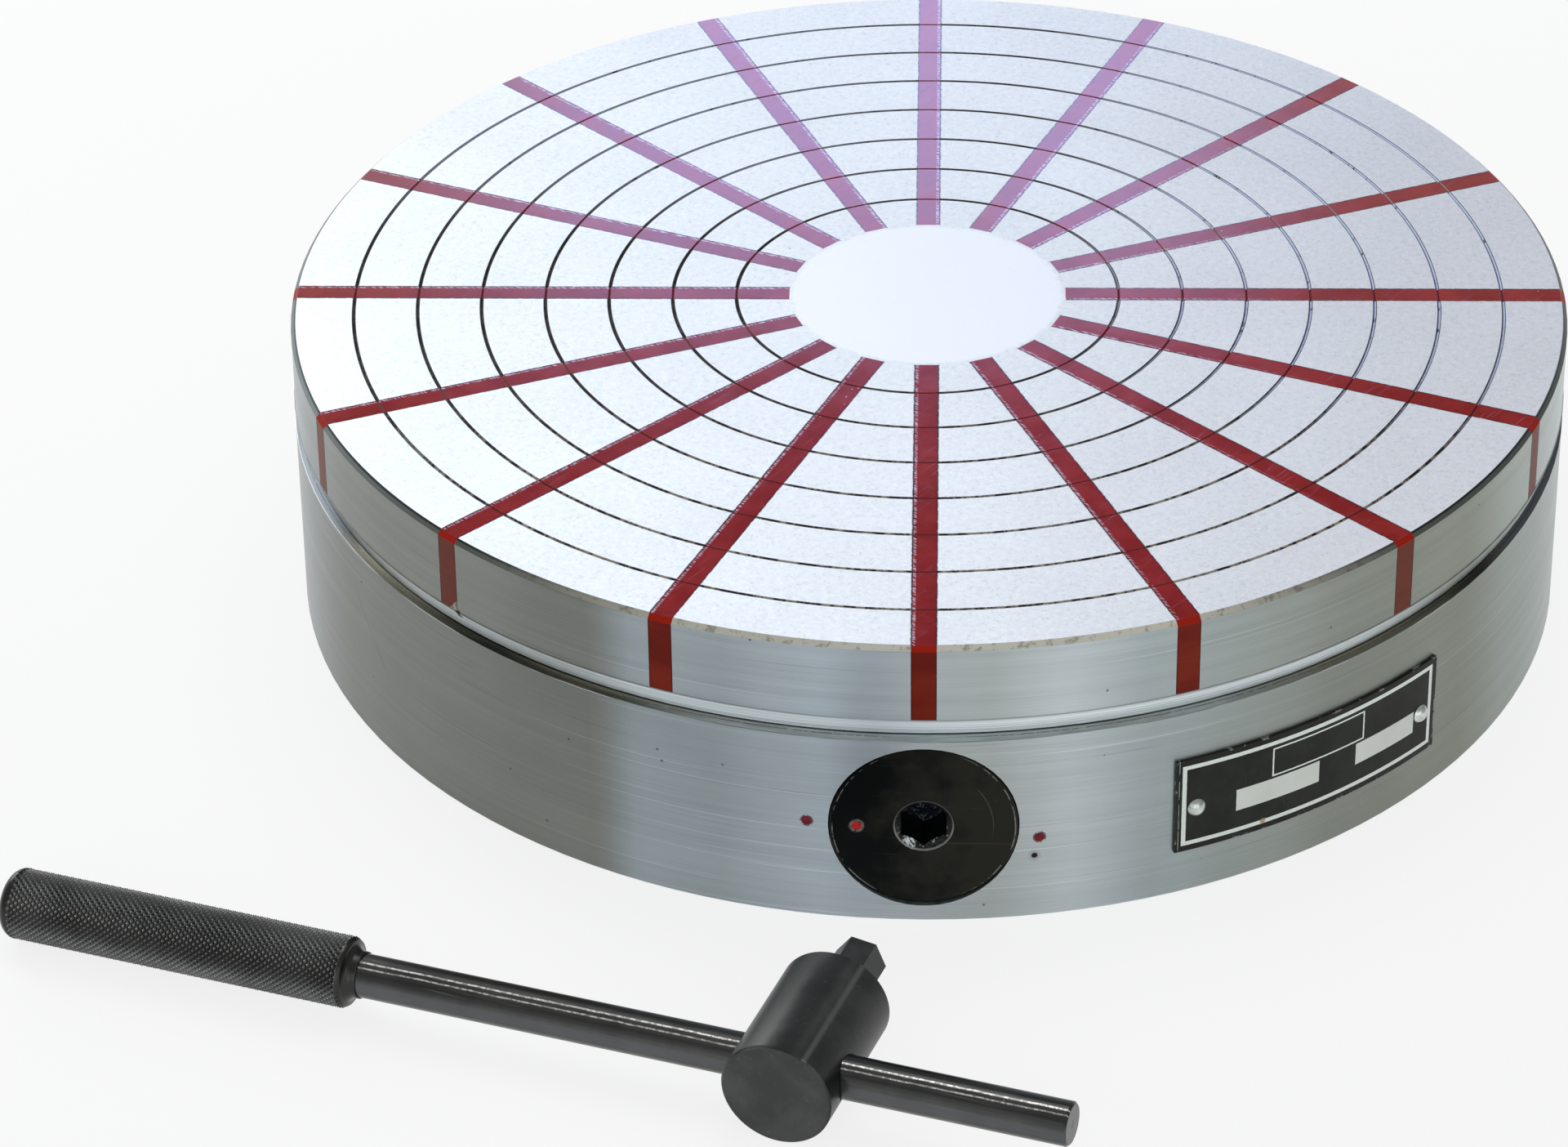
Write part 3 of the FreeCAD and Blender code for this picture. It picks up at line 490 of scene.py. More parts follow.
def plateFinish():
    finish = Finish("groundSteel")
    look = plateLook
    radius = radiusOf(finish)
    turn = turnOf(finish)
    across = abs(acrossGap(finish))
    below = chuck["top"] - finish.z
    above = finish.z - chuck["joint"]

    # The ground face: fine mottling outside the smooth middle, painted sparkle glints, soft clouds, and faint
    # rubs
    grain = finish.noise((2400, 2400, 2400), 2.0, 0.65)
    mottle = finish.noise((620, 620, 620), 3.0, 0.6, shift=(7, 3, 1))
    cloud = finish.noise((22, 22, 22), 3.0, 0.5)
    speck = finish.step(finish.noise((1000, 1000, 1000), 2.0, 0.7, shift=(1, 8, 4)), 0.56, 0.68)
    rub = finish.scratches(35, 14 * mm, 0.25 * mm, 0.70, 0.80)
    paintedGlint = finish.specks(3.2 * mm, 0.30 * mm, 0.22)
    dot = finish.specks(26 * mm, 0.35 * mm, 0.30)
    calm = 1 - finish.step(radius, chuck["gapStart"] - 2 * mm, chuck["gapStart"]) * 0.75
    spread = 1 - calm * 0.7
    tone = 0.97 + ((grain - 0.5) * 0.26 + (mottle - 0.5) * 0.30 - speck * 0.12) * spread + (cloud - 0.5) * 0.14
    tone = (tone + rub * 0.05 + paintedGlint * 0.16) * (1 - dot * 0.45) * (1 + calm * 0.17)
    # Painted light: the face is lighter on the left and in shade on the right
    right = finish.step(finish.x - finish.y * 0.2, 0.00, 0.12)
    half = chuck["gapHalf"]
    # A painted shade line along the steel's edge at each pole gap
    stepShadeLine = finish.step(across, half - 0.02 * mm, half) * finish.step(mottle, 0.35, 0.55)
    stepShadeLine = stepShadeLine * finish.fade(across, half + 0.08 * mm, half + 0.24 * mm)
    stepShadeLine = stepShadeLine * finish.step(radius, chuck["gapStart"] - 0.3 * mm, chuck["gapStart"])
    face = finish.scaled(finish.mix(right, *look["face"]), tone)
    face = finish.mix(stepShadeLine * 0.75, face, look["gapShadeLine"])

    # Rings: darker in the grooves, paler towards the front, and a painted cold glint where a flank faces the
    # window
    fromRing = finish.repeat((radius - chuck["firstRing"]) / chuck["ringPitch"]) * chuck["ringPitch"]
    groove = finish.fade(abs(fromRing), look["ringHalf"], look["ringHalf"] + 0.12 * mm)
    groove = groove * finish.between(radius, chuck["firstRing"] - 1 * mm, chuck["lastRing"], 0.5 * mm)
    ringNoise = finish.noise((420, 420, 420), 3.0, 0.7, shift=(3, 9, 2))
    paleFront = 0.12 + finish.step(0 - finish.y, 0.03, 0.10) * 0.88
    glare = finish.step(finish.x, 0.02, 0.07) * finish.step(finish.y, -0.075, -0.030)
    glare = glare + finish.fade(finish.x, -0.06, 0.02) * finish.step(finish.y, 0.02, 0.07) * 0.6
    glare = glare * finish.between(fromRing, -0.16 * mm, 0.26 * mm, 0.06 * mm) * finish.step(ringNoise, 0.30, 0.42)
    grooveTone = finish.mix(finish.step(ringNoise, 0.44, 0.60) * paleFront, *look["grooveTone"])
    face = finish.mix(groove, face, finish.mix(glare, grooveTone, look["ringGlare"]))
    faceRough = 0.46 + mottle * 0.10 - rub * 0.05 + groove * 0.2
    faceShader = finish.shader(face, faceRough, 1.0 - groove * 0.6,
                               finish.bump(grain * 0.6 + mottle * 0.4, 0.015 * mm))

    # The chamfer: painted reflection, dull at the sides and pale in front
    colour, tone, roughness, height = turnedWall(finish)
    grime = finish.step(ringNoise, 0.52, 0.64)
    dull, dullEdge = look["chamferDull"]
    dull = finish.mix(finish.fade(below, 0.30 * mm, 0.45 * mm), finish.scaled(dull, 0.7 + tone * 0.4), dullEdge)
    pale = finish.mix(grime * 0.6, *look["chamferPale"])
    rim = finish.mix(finish.between(turn, *look["frontTurns"]), dull, pale)
    onRim = finish.fade(below, look["chamfer"] - 0.06 * mm, look["chamfer"] + 0.02 * mm)

    # The wall lighter at some angles as painted reflection, the band below it with streaks of painted bluish
    # reflection and painted shade at the far left, the line between them, and a crack beside one resin bar
    bandTop = look["bandHeight"]
    band = finish.fade(above, bandTop - 0.25 * mm, bandTop)
    lip = finish.fade(above, 0.45 * mm, 0.65 * mm)
    streak = finish.noise((7, 7, 2600), 2.0, 0.6, shift=(2, 2, 2))
    # Painted reflection: the band's bluish streaks and the wall's lightness depend on the angle round the wall
    share = 0.10 + finish.spans(turn, look["bandSheenTurns"]) + finish.step(turn, -28, -16) * 0.60 + lip * 0.10
    share = share * (0.62 + finish.step(streak, 0.38, 0.60) * 0.38)
    lighter = 1.08 + finish.between(turn, -118, -56, 5.0) * 0.03 + finish.step(turn, -50, -20) * 0.10
    underline = finish.between(above, bandTop - 0.30 * mm, bandTop, 0.06 * mm)
    crack = finish.between(turn + above * 300, -132.9, -132.3, 0.1)
    crack = crack * finish.between(above, bandTop - 1.2 * mm, bandTop + 0.5 * mm, 0.1 * mm)
    # A painted highlight along the wall's top edge on the right
    edgeHighlight = finish.fade(below, 0.10 * mm, 0.20 * mm) * finish.step(turn, -30, 10)
    wall = finish.layered(
        finish.scaled(colour, tone * lighter),
        (band * share, finish.scaled(look["band"], 0.66 + streak * 0.62)),
        (band * finish.fade(turn, -153, -145) * 0.85, look["bandShade"]),
        (underline * 0.3, look["underline"]),
        (crack, look["crack"]),
        (onRim, rim),
        (edgeHighlight * 0.8, look["edgeHighlight"]))
    wallShader = turnedMetal(finish, wall, roughness, height)

    side = finish.step(radius, look["wallFrom"], look["wallFrom"] + 0.1 * mm)
    side = side + beyondRings(finish, radius) * finish.step(below, 0.05 * mm, 0.2 * mm)
    return finish.done(finish.node("MixShader", sockets={0: side, 1: faceShader, 2: wallShader}))


# Resin in the pole gaps

resinLook = {
    "top": ((0.270, 0.017, 0.016), (0.335, 0.025, 0.023)),
    "scuff": (0.50, 0.30, 0.38),
    "edgeGlintTicks": (0.70, 0.64, 0.84),
    "stepShadeLine": (0.018, 0.010, 0.016),
    "bubble": (0.70, 0.60, 0.66),
    "bubbleRadii": (44 * mm, 53 * mm, 2 * mm),  # the cluster, from, to and fade
    "bubbleTurns": (-118, -107, 1.0),
    "crossing": (0.100, 0.005, 0.008),  # where a ring crosses a bar
    "wall": ((0.155, 0.009, 0.003), (0.215, 0.019, 0.007)),
    "wallBeside": (0.155, 0.042, 0.020),
    "chamfer": (0.360, 0.012, 0.004),
    "wallShadeLine": (0.018, 0.010, 0.012),
    "broken": ((0.20, 0.13, 0.11), (0.50, 0.46, 0.38)),
    "brokenTurns": (-136.2, -133.8, 0.05),  # round the bar that is chipped
    "wallFrom": 148.0 * mm,
}


def resinFinish():
    finish = Finish("redResin")
    look = resinLook
    radius = radiusOf(finish)
    turn = turnOf(finish)
    across = acrossGap(finish)
    below = chuck["top"] - finish.z
    edge = chuck["gapHalf"] - abs(across)
    cloud = finish.noise((120, 120, 120), 3.0, 0.55)
    patchy = finish.noise((700, 700, 700), 2.0)
    # A painted shade line round the bar's edges, where the resin sits below the steel
    stepShadeLine = finish.fade(edge, 0.14 * mm, 0.32 * mm) * finish.step(patchy, 0.32, 0.48) * 0.9

    # On the face: scuffs, long and short scratches, painted highlight ticks along one edge, a painted shade
    # line round the edges, bubbles, and the rings' crossings
    scuff = finish.scratches(28, 7 * mm, 0.12 * mm, 0.70, 0.80) * 0.25
    scuff = scuff + finish.scratches(-52, 16 * mm, 0.12 * mm, 0.71, 0.78, 5.0) * 0.45
    edgeGlintTicks = finish.scratches(33, 2.2 * mm, 0.30 * mm, 0.48, 0.58, 2.0)
    edgeGlintTicks = edgeGlintTicks * finish.between(edge, 0.25 * mm, 0.90 * mm, 0.15 * mm)
    leftSide = finish.step(0 - across, 0, 0.5 * mm) * finish.fade(finish.x, 0.02, 0.10)
    bubble = finish.specks(1.3 * mm, 0.30 * mm, 0.5) * finish.between(radius, *look["bubbleRadii"])
    bubble = bubble * finish.between(turn, *look["bubbleTurns"]) + finish.specks(6 * mm, 0.25 * mm, 0.35)
    crossing = finish.step(below, 0.02 * mm, 0.10 * mm) * (1 - beyondRings(finish, radius))
    topRed = finish.layered(
        finish.mix(finish.step(cloud, 0.35, 0.70), *look["top"]),
        (scuff * 0.5, look["scuff"]),
        (edgeGlintTicks * leftSide * 0.9, look["edgeGlintTicks"]),
        (stepShadeLine, look["stepShadeLine"]),
        (bubble * 0.7, look["bubble"]),
        (crossing * 0.75, look["crossing"]))
    topShader = finish.shader(topRed, 0.07 + cloud * 0.03 + scuff * 0.20 + crossing * 0.15, 0.0,
                              finish.bump(cloud + scuff * 0.6, 0.01 * mm), Specular_IOR_Level=0.44)

    # On the wall: brick red with fine lathe streaks, brighter on the chamfer, a painted shade line along the
    # edges, chipped at one corner
    streak = finish.noise((40, 40, 2600), 2.0)
    beside = 1 - finish.between(turn, -130, -60, 8.0)
    chamfer = finish.fade(below, 1.0 * mm, 1.5 * mm)
    height = finish.z - chuck["joint"] - plateLook["bandHeight"]
    broken = finish.step(across + (patchy - 0.5) * 1.2 * mm - height * 0.9, 0.1 * mm, 0.4 * mm)
    wallRed = finish.mix(finish.step(finish.noise((30, 30, 90), 2.0), 0.4, 0.6), *look["wall"])
    wallRed = finish.layered(
        finish.scaled(finish.mix(beside * 0.7, wallRed, look["wallBeside"]), 0.85 + streak * 0.35),
        (chamfer, look["chamfer"]),
        (stepShadeLine * (1 - chamfer), look["wallShadeLine"]),
        (broken * finish.between(turn, *look["brokenTurns"]),
         finish.mix(finish.step(patchy, 0.4, 0.6), *look["broken"])))
    wallShader = finish.shader(wallRed, 0.34 + cloud * 0.08, 0.0, finish.bump(streak, 0.02 * mm),
                               Specular_IOR_Level=0.12)
    side = finish.step(radius, look["wallFrom"], look["wallFrom"] + 0.6 * mm)
    side = side * finish.step(below, 0.05 * mm, 0.15 * mm)
    return finish.done(finish.node("MixShader", sockets={0: side, 1: topShader, 2: wallShader}))


paint(baseFinish(), "base")
paint(plateFinish(), "pole_plate")
paint(resinFinish(), "pole_separators")
print("chuck finished")


# Disc in the wall, with the key's socket

discLow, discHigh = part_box("actuator_shaft")
disc = {
    "centre": ((discLow.x + discHigh.x) / 2, discLow.y, (discLow.z + discHigh.z) / 2),
    "radius": (discHigh.x - discLow.x) / 2,
    "black": ((0.0065, 0.0080, 0.0082), (0.0235, 0.0238, 0.0190)),
    "rub": (0.09, 0.09, 0.08),
    "dotRadius": 14.7 * mm,
    "bare": (0.26, 0.25, 0.22),  # scraped steel round the dot
    "rim": (0.20, 0.20, 0.18),
    "scratch": (0.11, 0.055, 0.035),
    "arc": (0.10, 0.10, 0.09),
    "mouth": 6.5 * mm,
    "mouthHighlight": (0.28, 0.28, 0.27),
    "chamfer": ((0.018, 0.019, 0.020), (0.055, 0.055, 0.055)),
    "glintFleck": (0.80, 0.82, 0.84),
    "chamferDepth": 1.5 * mm,
    "inside": (0.035, 0.036, 0.040),
    "endLightDepth": 10.0 * mm,  # past which the socket's walls are painted light, mottled
    "end": ((0.030, 0.038, 0.055), (0.60, 0.68, 0.78)),
}


def discFinish():
    finish = Finish("blackDisc")
    dx = finish.x - disc["centre"][0]
    dz = finish.z - disc["centre"][2]
    out = finish.far(dx, dz)
    cloud = finish.noise((90, 90, 90), 3.0, 0.6)
    grit = finish.noise((1500, 1500, 1500), 2.0, 0.6)

    # The flat: lighter towards the right as painted reflection, faint rubs, scraped round the dot, a broken rim
    # of painted highlight, one thin scratch and one arc
    rub = finish.step(finish.noise((60, 60, 1400), 1.0), 0.68, 0.80)
    fromDot = finish.far(dx + disc["dotRadius"], dz)
    bare = finish.fade(fromDot + (cloud - 0.5) * 1.6 * mm, 1.5 * mm, 2.1 * mm) * finish.step(grit, 0.30, 0.55)
    rim = finish.between(out + (cloud - 0.5) * 0.5 * mm, disc["radius"] - 0.75 * mm, disc["radius"] - 0.50 * mm,
                         0.08 * mm)
    rim = rim * finish.step(finish.noise((260, 260, 260), 3.0, 0.7), 0.44, 0.56)
    rim = rim * finish.step(abs(dx), 6 * mm, 16 * mm)
    scratch = finish.between(dz, -4.8 * mm, -4.6 * mm, 0.08 * mm) * finish.between(dx, 2 * mm, 19 * mm, 1 * mm)
    arc = finish.between(out, 15.2 * mm, 15.4 * mm, 0.08 * mm) * finish.between(dx, 12 * mm, 15.5 * mm, 1 * mm)
    # Painted reflection: the black is lighter towards the right; the rim carries painted highlight crescents
    tone = finish.layered(
        finish.mix(finish.step(cloud + dx * 14, 0.30, 0.72), *disc["black"]),
        (rub * 0.25 + finish.specks(4 * mm, 0.16 * mm, 0.25) * 0.5, disc["rub"]),
        (bare * 0.75, disc["bare"]),
        (rim, disc["rim"]),
        (scratch * 0.5, disc["scratch"]),
        (arc * finish.step(dz, -4 * mm, 1 * mm) * 0.6, disc["arc"]))

    # The socket: a painted highlight round its mouth, a chamfer with painted glint flecks and one painted
    # glint, and a far end painted light
    depth = finish.y - disc["centre"][1]
    mouth = finish.fade(out, disc["mouth"] + 0.05 * mm, disc["mouth"] + 0.25 * mm)
    line = mouth * finish.step(out, disc["mouth"] - 0.30 * mm, disc["mouth"] - 0.15 * mm)
    line = line * (0.35 + finish.fade(dz, -2 * mm, 3 * mm) * 0.5)
    glintFleck = finish.step(finish.noise((1100, 1100, 1100), 2.0, 0.6), 0.60, 0.66)
    glintFleck = glintFleck * finish.fade(dz, -3 * mm, 1 * mm)
    paintedGlint = finish.between(dx, -4.5 * mm, -2 * mm, 0.4 * mm) * finish.fade(dz, -4.2 * mm, -3 * mm)
    chamfer = finish.mix(finish.step(grit, 0.35, 0.65), *disc["chamfer"])
    chamfer = finish.mix(glintFleck * 0.5 + paintedGlint * finish.step(grit, 0.4, 0.5), chamfer, disc["glintFleck"])
    # Painted light at the socket's far end, where little light reaches
    end = mouth * finish.step(depth + (grit - 0.5) * 0.8 * mm, disc["endLightDepth"] - 0.2 * mm,
                              disc["endLightDepth"] + 0.2 * mm)
    endLightMottle = finish.step(finish.noise((800, 800, 800), 3.0, 0.7), 0.50, 0.66)
    tone = finish.layered(
        tone,
        (mouth, finish.mix(line, chamfer, disc["mouthHighlight"])),
        (finish.step(depth, disc["chamferDepth"], disc["chamferDepth"] + 0.2 * mm), disc["inside"]),
        (end, finish.mix(endLightMottle, *disc["end"])))
    roughness = 0.33 + cloud * 0.16 + end * 0.2
    return finish.done(finish.shader(tone, roughness, 1.0 - end * 0.7, finish.bump(grit, 0.01 * mm)))


paint(discFinish(), "actuator_shaft")
print("disc finished")


# Key: its bar and its head. Turns are in degrees about the piece's own axis

keyPlace = {
    "cross": (-26.9 * mm, -218.1 * mm, 12.4 * mm),  # where the bar's middle line passes the head's
    "turn": -19.87,
    "slope": 0.02414,  # how far the bar falls along its length
    "barEnd": 62.0 * mm,
    "headRadius": 12.4 * mm,
    "headEnd": -19.7 * mm,
}
barLook = {
    "black": ((0.058, 0.057, 0.055), (0.085, 0.083, 0.080)),
    "coldReflection": (0.108, 0.114, 0.124),
    "coldReflectionTurns": (-14, 16, 7.0),
    "dark": (0.022, 0.022, 0.022),
    "shadeTurns": (26, 46, 5.0),
    "highlight": (0.95, 0.95, 0.92),
    "highlightTurns": [(55, 59, 6), (70, 75, 5)],  # from, to, and how far they waver
    # painted shade along the bar's top
    "back": (0.020, 0.020, 0.020),
    "streak": (0.26, 0.25, 0.24),
    "speck": (0.30, 0.26, 0.22),
    "end": ((0.01, 0.01, 0.01), (0.075, 0.075, 0.073)),  # centre mark and face
}
headLook = {
    "black": ((0.046, 0.047, 0.047), (0.074, 0.075, 0.074)),
    "dark": (0.020, 0.021, 0.021),
    "shadeTurns": (72, 90, 6.0),
    "soft": (0.155, 0.153, 0.145),
    "softSheenTurns": (100, 124, 8.0),
    "line": (0.22, 0.22, 0.21),
    "highlightLineTurns": (56, 61, 2.0),
    "right": (0.018, 0.018, 0.018),
    "fine": (0.16, 0.16, 0.15),
    "speck": (0.26, 0.25, 0.22),
}


def keyAxes(finish):  # along the bar, across it and up from its middle line
    fromCross = finish.node("VectorMath", {"operation": "SUBTRACT"}, {0: finish.place, 1: keyPlace["cross"]})
    local = finish.node("VectorRotate", {"rotation_type": "Z_AXIS"},
                        {"Vector": fromCross, "Angle": radians(-keyPlace["turn"])})
    along, across, up = (finish.node("SeparateXYZ", sockets={0: local}, out=axis) for axis in "XYZ")
    return along, across, up - along * keyPlace["slope"]


def blackTexture(finish, streakScale):  # streaks along the key, and the grit between them
    streak = finish.noise(streakScale, 3.0, 0.6, finish.turned(-keyPlace["turn"]))
    grit = finish.noise((1300, 1300, 1300), 2.0, 0.6)
    return streak, finish.bump(grit * 0.5 + streak, 0.012 * mm)


def barFinish():
    finish = Finish("blackBar")
    look = barLook
    along, across, up = keyAxes(finish)
    turn = finish.angle(up, 0 - across)
    cloud = finish.noise((90, 90, 90), 3.0, 0.6)
    speckle = finish.step(finish.noise((900, 900, 900), 3.0, 0.7), 0.42, 0.60)
    streak, bump = blackTexture(finish, (25, 1400, 1400))
    highlight = sum(finish.between(turn + (cloud - 0.5) * waver, low, high, 1.5)
                 for low, high, waver in look["highlightTurns"])
    endMark = finish.step(finish.far(across, up), 0.9 * mm, 1.2 * mm)
    # Painted light round the bar: a cold reflection band, a shaded band, two highlight streaks and a dark top
    tone = finish.layered(
        finish.mix(finish.step(cloud, 0.35, 0.70), *look["black"]),
        (finish.between(turn, *look["coldReflectionTurns"]) * (0.5 + cloud * 0.5), look["coldReflection"]),
        (finish.between(turn, *look["shadeTurns"]) * 0.6, look["dark"]),
        (highlight * (0.35 + speckle * 0.65), look["highlight"]),
        (finish.step(turn, 84, 96) * 0.7, look["back"]),
        (finish.step(streak, 0.60, 0.78) * 0.3, look["streak"]),
        (finish.specks(6 * mm, 0.3 * mm, 0.3) * 0.5, look["speck"]),
        (finish.step(along, keyPlace["barEnd"] - 0.3 * mm, keyPlace["barEnd"] - 0.1 * mm),
         finish.mix(endMark, *look["end"])))
    return finish.done(finish.shader(tone, 0.24 + cloud * 0.12, 0.85, bump,
                                     Coat_Weight=0.2, Coat_Roughness=0.2))


def headFinish():
    finish = Finish("blackHead")
    look = headLook
    along, across, up = keyAxes(finish)
    turn = finish.angle(up, along)
    cloud = finish.noise((90, 90, 90), 3.0, 0.6)
    fine = finish.noise((700, 700, 700), 3.0, 0.65)
    streak, bump = blackTexture(finish, (900, 30, 900))
    radius, end = keyPlace["headRadius"], keyPlace["headEnd"]
    side = finish.step(finish.far(along, up), radius - 0.6 * mm, radius - 0.2 * mm)
    side = side * finish.step(across, end, end + 0.7 * mm)
    # Painted light on the head's side: a soft sheen, a shaded band, a highlight line, and shade on one side
    tone = finish.layered(
        finish.mix(finish.step(cloud, 0.35, 0.70), *look["black"]),
        (side * finish.between(turn + (cloud - 0.5) * 20, *look["softSheenTurns"]) * 0.75, look["soft"]),
        (side * finish.between(turn, *look["shadeTurns"]) * 0.7, look["dark"]),
        (side * finish.between(turn, *look["highlightLineTurns"]) * (0.3 + streak * 0.5), look["line"]),
        (side * finish.fade(turn, 24, 40) * 0.6, look["right"]),
        (finish.step(fine, 0.62, 0.72) * 0.25, look["fine"]),
        (finish.specks(5 * mm, 0.22 * mm, 0.3) * 0.5, look["speck"]))
    return finish.done(finish.shader(tone, 0.32 + cloud * 0.14, 0.85, bump,
                                     Coat_Weight=0.15, Coat_Roughness=0.3))


screwLook = {
    "black": (0.035, 0.035, 0.036),
    "roughness": 0.42,
}


def screwFinish():
    finish = Finish("blackScrews")
    cloud = finish.noise((70, 70, 70), 3.0, 0.6)
    streak, bump = blackTexture(finish, (300, 300, 300))

    def shade(strength):
        return [value * strength for value in screwLook["black"]]

    face = finish.layered(
        finish.mix(finish.step(cloud, 0.35, 0.70), shade(0.75), shade(1.25)),
        (finish.step(streak, 0.58, 0.78) * 0.35, shade(2.4)),
        (finish.specks(5 * mm, 0.22 * mm, 0.3) * 0.4, shade(4)))
    roughness = screwLook["roughness"] + (cloud - 0.5) * 0.16 + streak * 0.08
    return finish.done(finish.shader(face, roughness, 0.85, bump, Coat_Weight=0.15, Coat_Roughness=0.3))


paint(headFinish(), "key_head")
paint(barFinish(), "key_bar", "key_grip")
paint(screwFinish(), "plate_screws", "centre_screw", "stop_screw", "rotor_screws", "drive_block_screws")
print("key and screws finished")


# Marks, nameplate and rivets

def redPaint(name, dark, light):
    finish = Finish(name)
    cloud = finish.noise((900, 900, 900), 3.0, 0.6)
    red = finish.mix(finish.step(cloud, 0.35, 0.7), dark, light)
    return finish.done(finish.shader(red, 0.30 + cloud * 0.2, 0.0, finish.bump(cloud, 0.05 * mm),
                                     Specular_IOR_Level=0.25))


nameplate = {
    "middle": -54.38,  # degrees round the wall
    "low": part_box("nameplate")[0].z,
    "width": 73.72 * mm,
    "height": 24.3 * mm,
    "border": (1.5 * mm, 1.05 * mm),  # inset and width of the border line
    "frame": (24.0 * mm, 49.8 * mm, 13.4 * mm, 20.9 * mm, 0.4 * mm),  # left, right, low, high, width of line
    "fields": [(14.9 * mm, 36.9 * mm, 7.2 * mm, 12.8 * mm), (47.5 * mm, 66.1 * mm, 7.2 * mm, 12.8 * mm)],
    "black": ((0.018, 0.019, 0.015), (0.028, 0.030, 0.024)),
    "bare": (0.82, 0.86, 0.81),
    "silver": (0.66, 0.68, 0.64),
    "worn": (0.50, 0.51, 0.48),
    "scratch": (0.20, 0.20, 0.18),
    "speck": (0.30, 0.28, 0.24),
    "smudge": (21.9 * mm, 2.2 * mm),
    "smudgeColour": (0.42, 0.24, 0.10),
}


def nameplateFinish():
    finish = Finish("blackPlate")
    look = nameplate
    waver = (finish.noise((900, 900, 900), 2.0, 0.6) - 0.5) * 0.12 * mm
    along = (turnOf(finish) - look["middle"]) * chuck["degree"] + look["width"] / 2 + waver
    up = finish.z - look["low"] + waver
    soft = 0.03 * mm

    def patch(left, right, low, high):
        return finish.between(along, left, right, soft) * finish.between(up, low, high, soft)

    def line(left, right, low, high, width):
        inner = patch(left + width, right - width, low + width, high - width)
        return patch(left, right, low, high) * (1 - inner)

    inset, lineWidth = look["border"]
    bare = line(inset, look["width"] - inset, inset, look["height"] - inset, lineWidth) + line(*look["frame"])
    silver = patch(*look["fields"][0]) + patch(*look["fields"][1])
    cloud = finish.noise((70, 70, 70), 3.0, 0.6)
    grit = finish.noise((1600, 1600, 1600), 2.0, 0.6)

    # Worn spots on the edges, a worn line beside the left one, and a worn lower right corner
    patchy = finish.noise((300, 300, 300), 3.0, 0.7)
    edge = 1 - patch(0.35 * mm, look["width"] - 0.35 * mm, 0.30 * mm, look["height"] - 0.30 * mm)
    leftLine = finish.between(along, 0.72 * mm, 0.86 * mm, soft) * finish.step(patchy, 0.40, 0.50)
    corner = finish.step(along - up * 0.4, look["width"] - 2.2 * mm, look["width"] - 0.6 * mm)
    corner = corner * finish.step(patchy, 0.44, 0.54)
    worn = edge * finish.step(patchy, 0.58, 0.64) * 0.6 + leftLine + corner * 0.7
    smudge = finish.far(along - look["smudge"][0], up - look["smudge"][1])
    face = finish.layered(
        finish.mix(finish.step(cloud, 0.35, 0.7), *look["black"]),
        (worn * 0.8, look["worn"]),
        (finish.scratches(20, 5 * mm, 0.10 * mm, 0.72, 0.80) * 0.25, look["scratch"]),
        (finish.specks(3 * mm, 0.18 * mm, 0.2) * 0.5, look["speck"]),
        (bare, finish.scaled(look["bare"], 0.9 + grit * 0.2)),
        (silver, finish.scaled(look["silver"], 0.85 + cloud * 0.3)),
        (finish.fade(smudge, 0.5 * mm, 0.9 * mm) * 0.8, look["smudgeColour"]))
    shiny = bare * 0.3 + silver * 0.7 + worn * 0.5
    return finish.done(finish.shader(face, 0.34 + grit * 0.08, shiny, finish.bump(grit, 0.01 * mm),
                                     Specular_IOR_Level=0.12))


rivetLook = {
    "tones": ((0.55, 0.57, 0.52), (0.72, 0.76, 0.76)),
    "roughness": 0.22,
}


def rivetFinish():
    finish = Finish("brightRivet")
    cloud = finish.noise((500, 500, 500), 3.0, 0.6)
    tone = finish.mix(finish.step(cloud, 0.35, 0.7), *rivetLook["tones"])
    return finish.done(finish.shader(tone, rivetLook["roughness"] + cloud * 0.15, 1.0,
                                     finish.bump(cloud, 0.03 * mm)))


paint(redPaint("redWallPaint", (0.14, 0.004, 0.012), (0.27, 0.008, 0.022)), "index_dots")
paint(redPaint("redDiscPaint", (0.42, 0.012, 0.020), (0.66, 0.025, 0.035)), "actuator_dot")
paint(nameplateFinish(), "nameplate")
paint(rivetFinish(), "nameplate_rivets")
print("marks and nameplate finished")


# Inner pieces

innerMetals = {  # tone, roughness, metallic and fineness of the grain, then the pieces
    "hardSteel": ((0.50, 0.50, 0.50), 0.20, 1.0, (20, 20, 2400), [
        "plate_dowels", "centre_post", "eccentric_pin", "pin_clip", "drive_roller", "drive_block"]),
    "poleIron": ((0.42, 0.43, 0.44), 0.35, 1.0, (500, 500, 2000), ["rotor_plate", "rotor_poles"]),
    "darkMagnet": ((0.10, 0.10, 0.11), 0.55, 0.3, (900, 900, 900), ["rotor_magnets"]),
    "bronze": ((0.62, 0.42, 0.20), 0.30, 1.0, (20, 20, 2200), [
        "actuator_bush", "thrust_washer", "rotor_bush", "rotor_core", "rotor_band"]),
    "sealRubber": ((0.03, 0.03, 0.03), 0.60, 0.0, (700, 700, 700), ["joint_seal", "actuator_seal"]),
}


def innerFinish(name, tone, rough, metallic, fineness):
    finish = Finish(name)
    cloud = finish.noise((60, 60, 60), 3.0, 0.6)
    grain = finish.noise(fineness, 3.0, 0.6)
    shade = finish.mix(finish.step(cloud, 0.3, 0.7),
                       [value * 0.85 for value in tone], [value * 1.1 for value in tone])
    return finish.done(finish.shader(finish.scaled(shade, 0.85 + grain * 0.3), rough + cloud * 0.1, metallic,
                                     finish.bump(grain, 0.02 * mm)))


for name, (tone, rough, metallic, fineness, pieces) in innerMetals.items():
    paint(innerFinish(name, tone, rough, metallic, fineness), *pieces)
print("inner pieces finished")


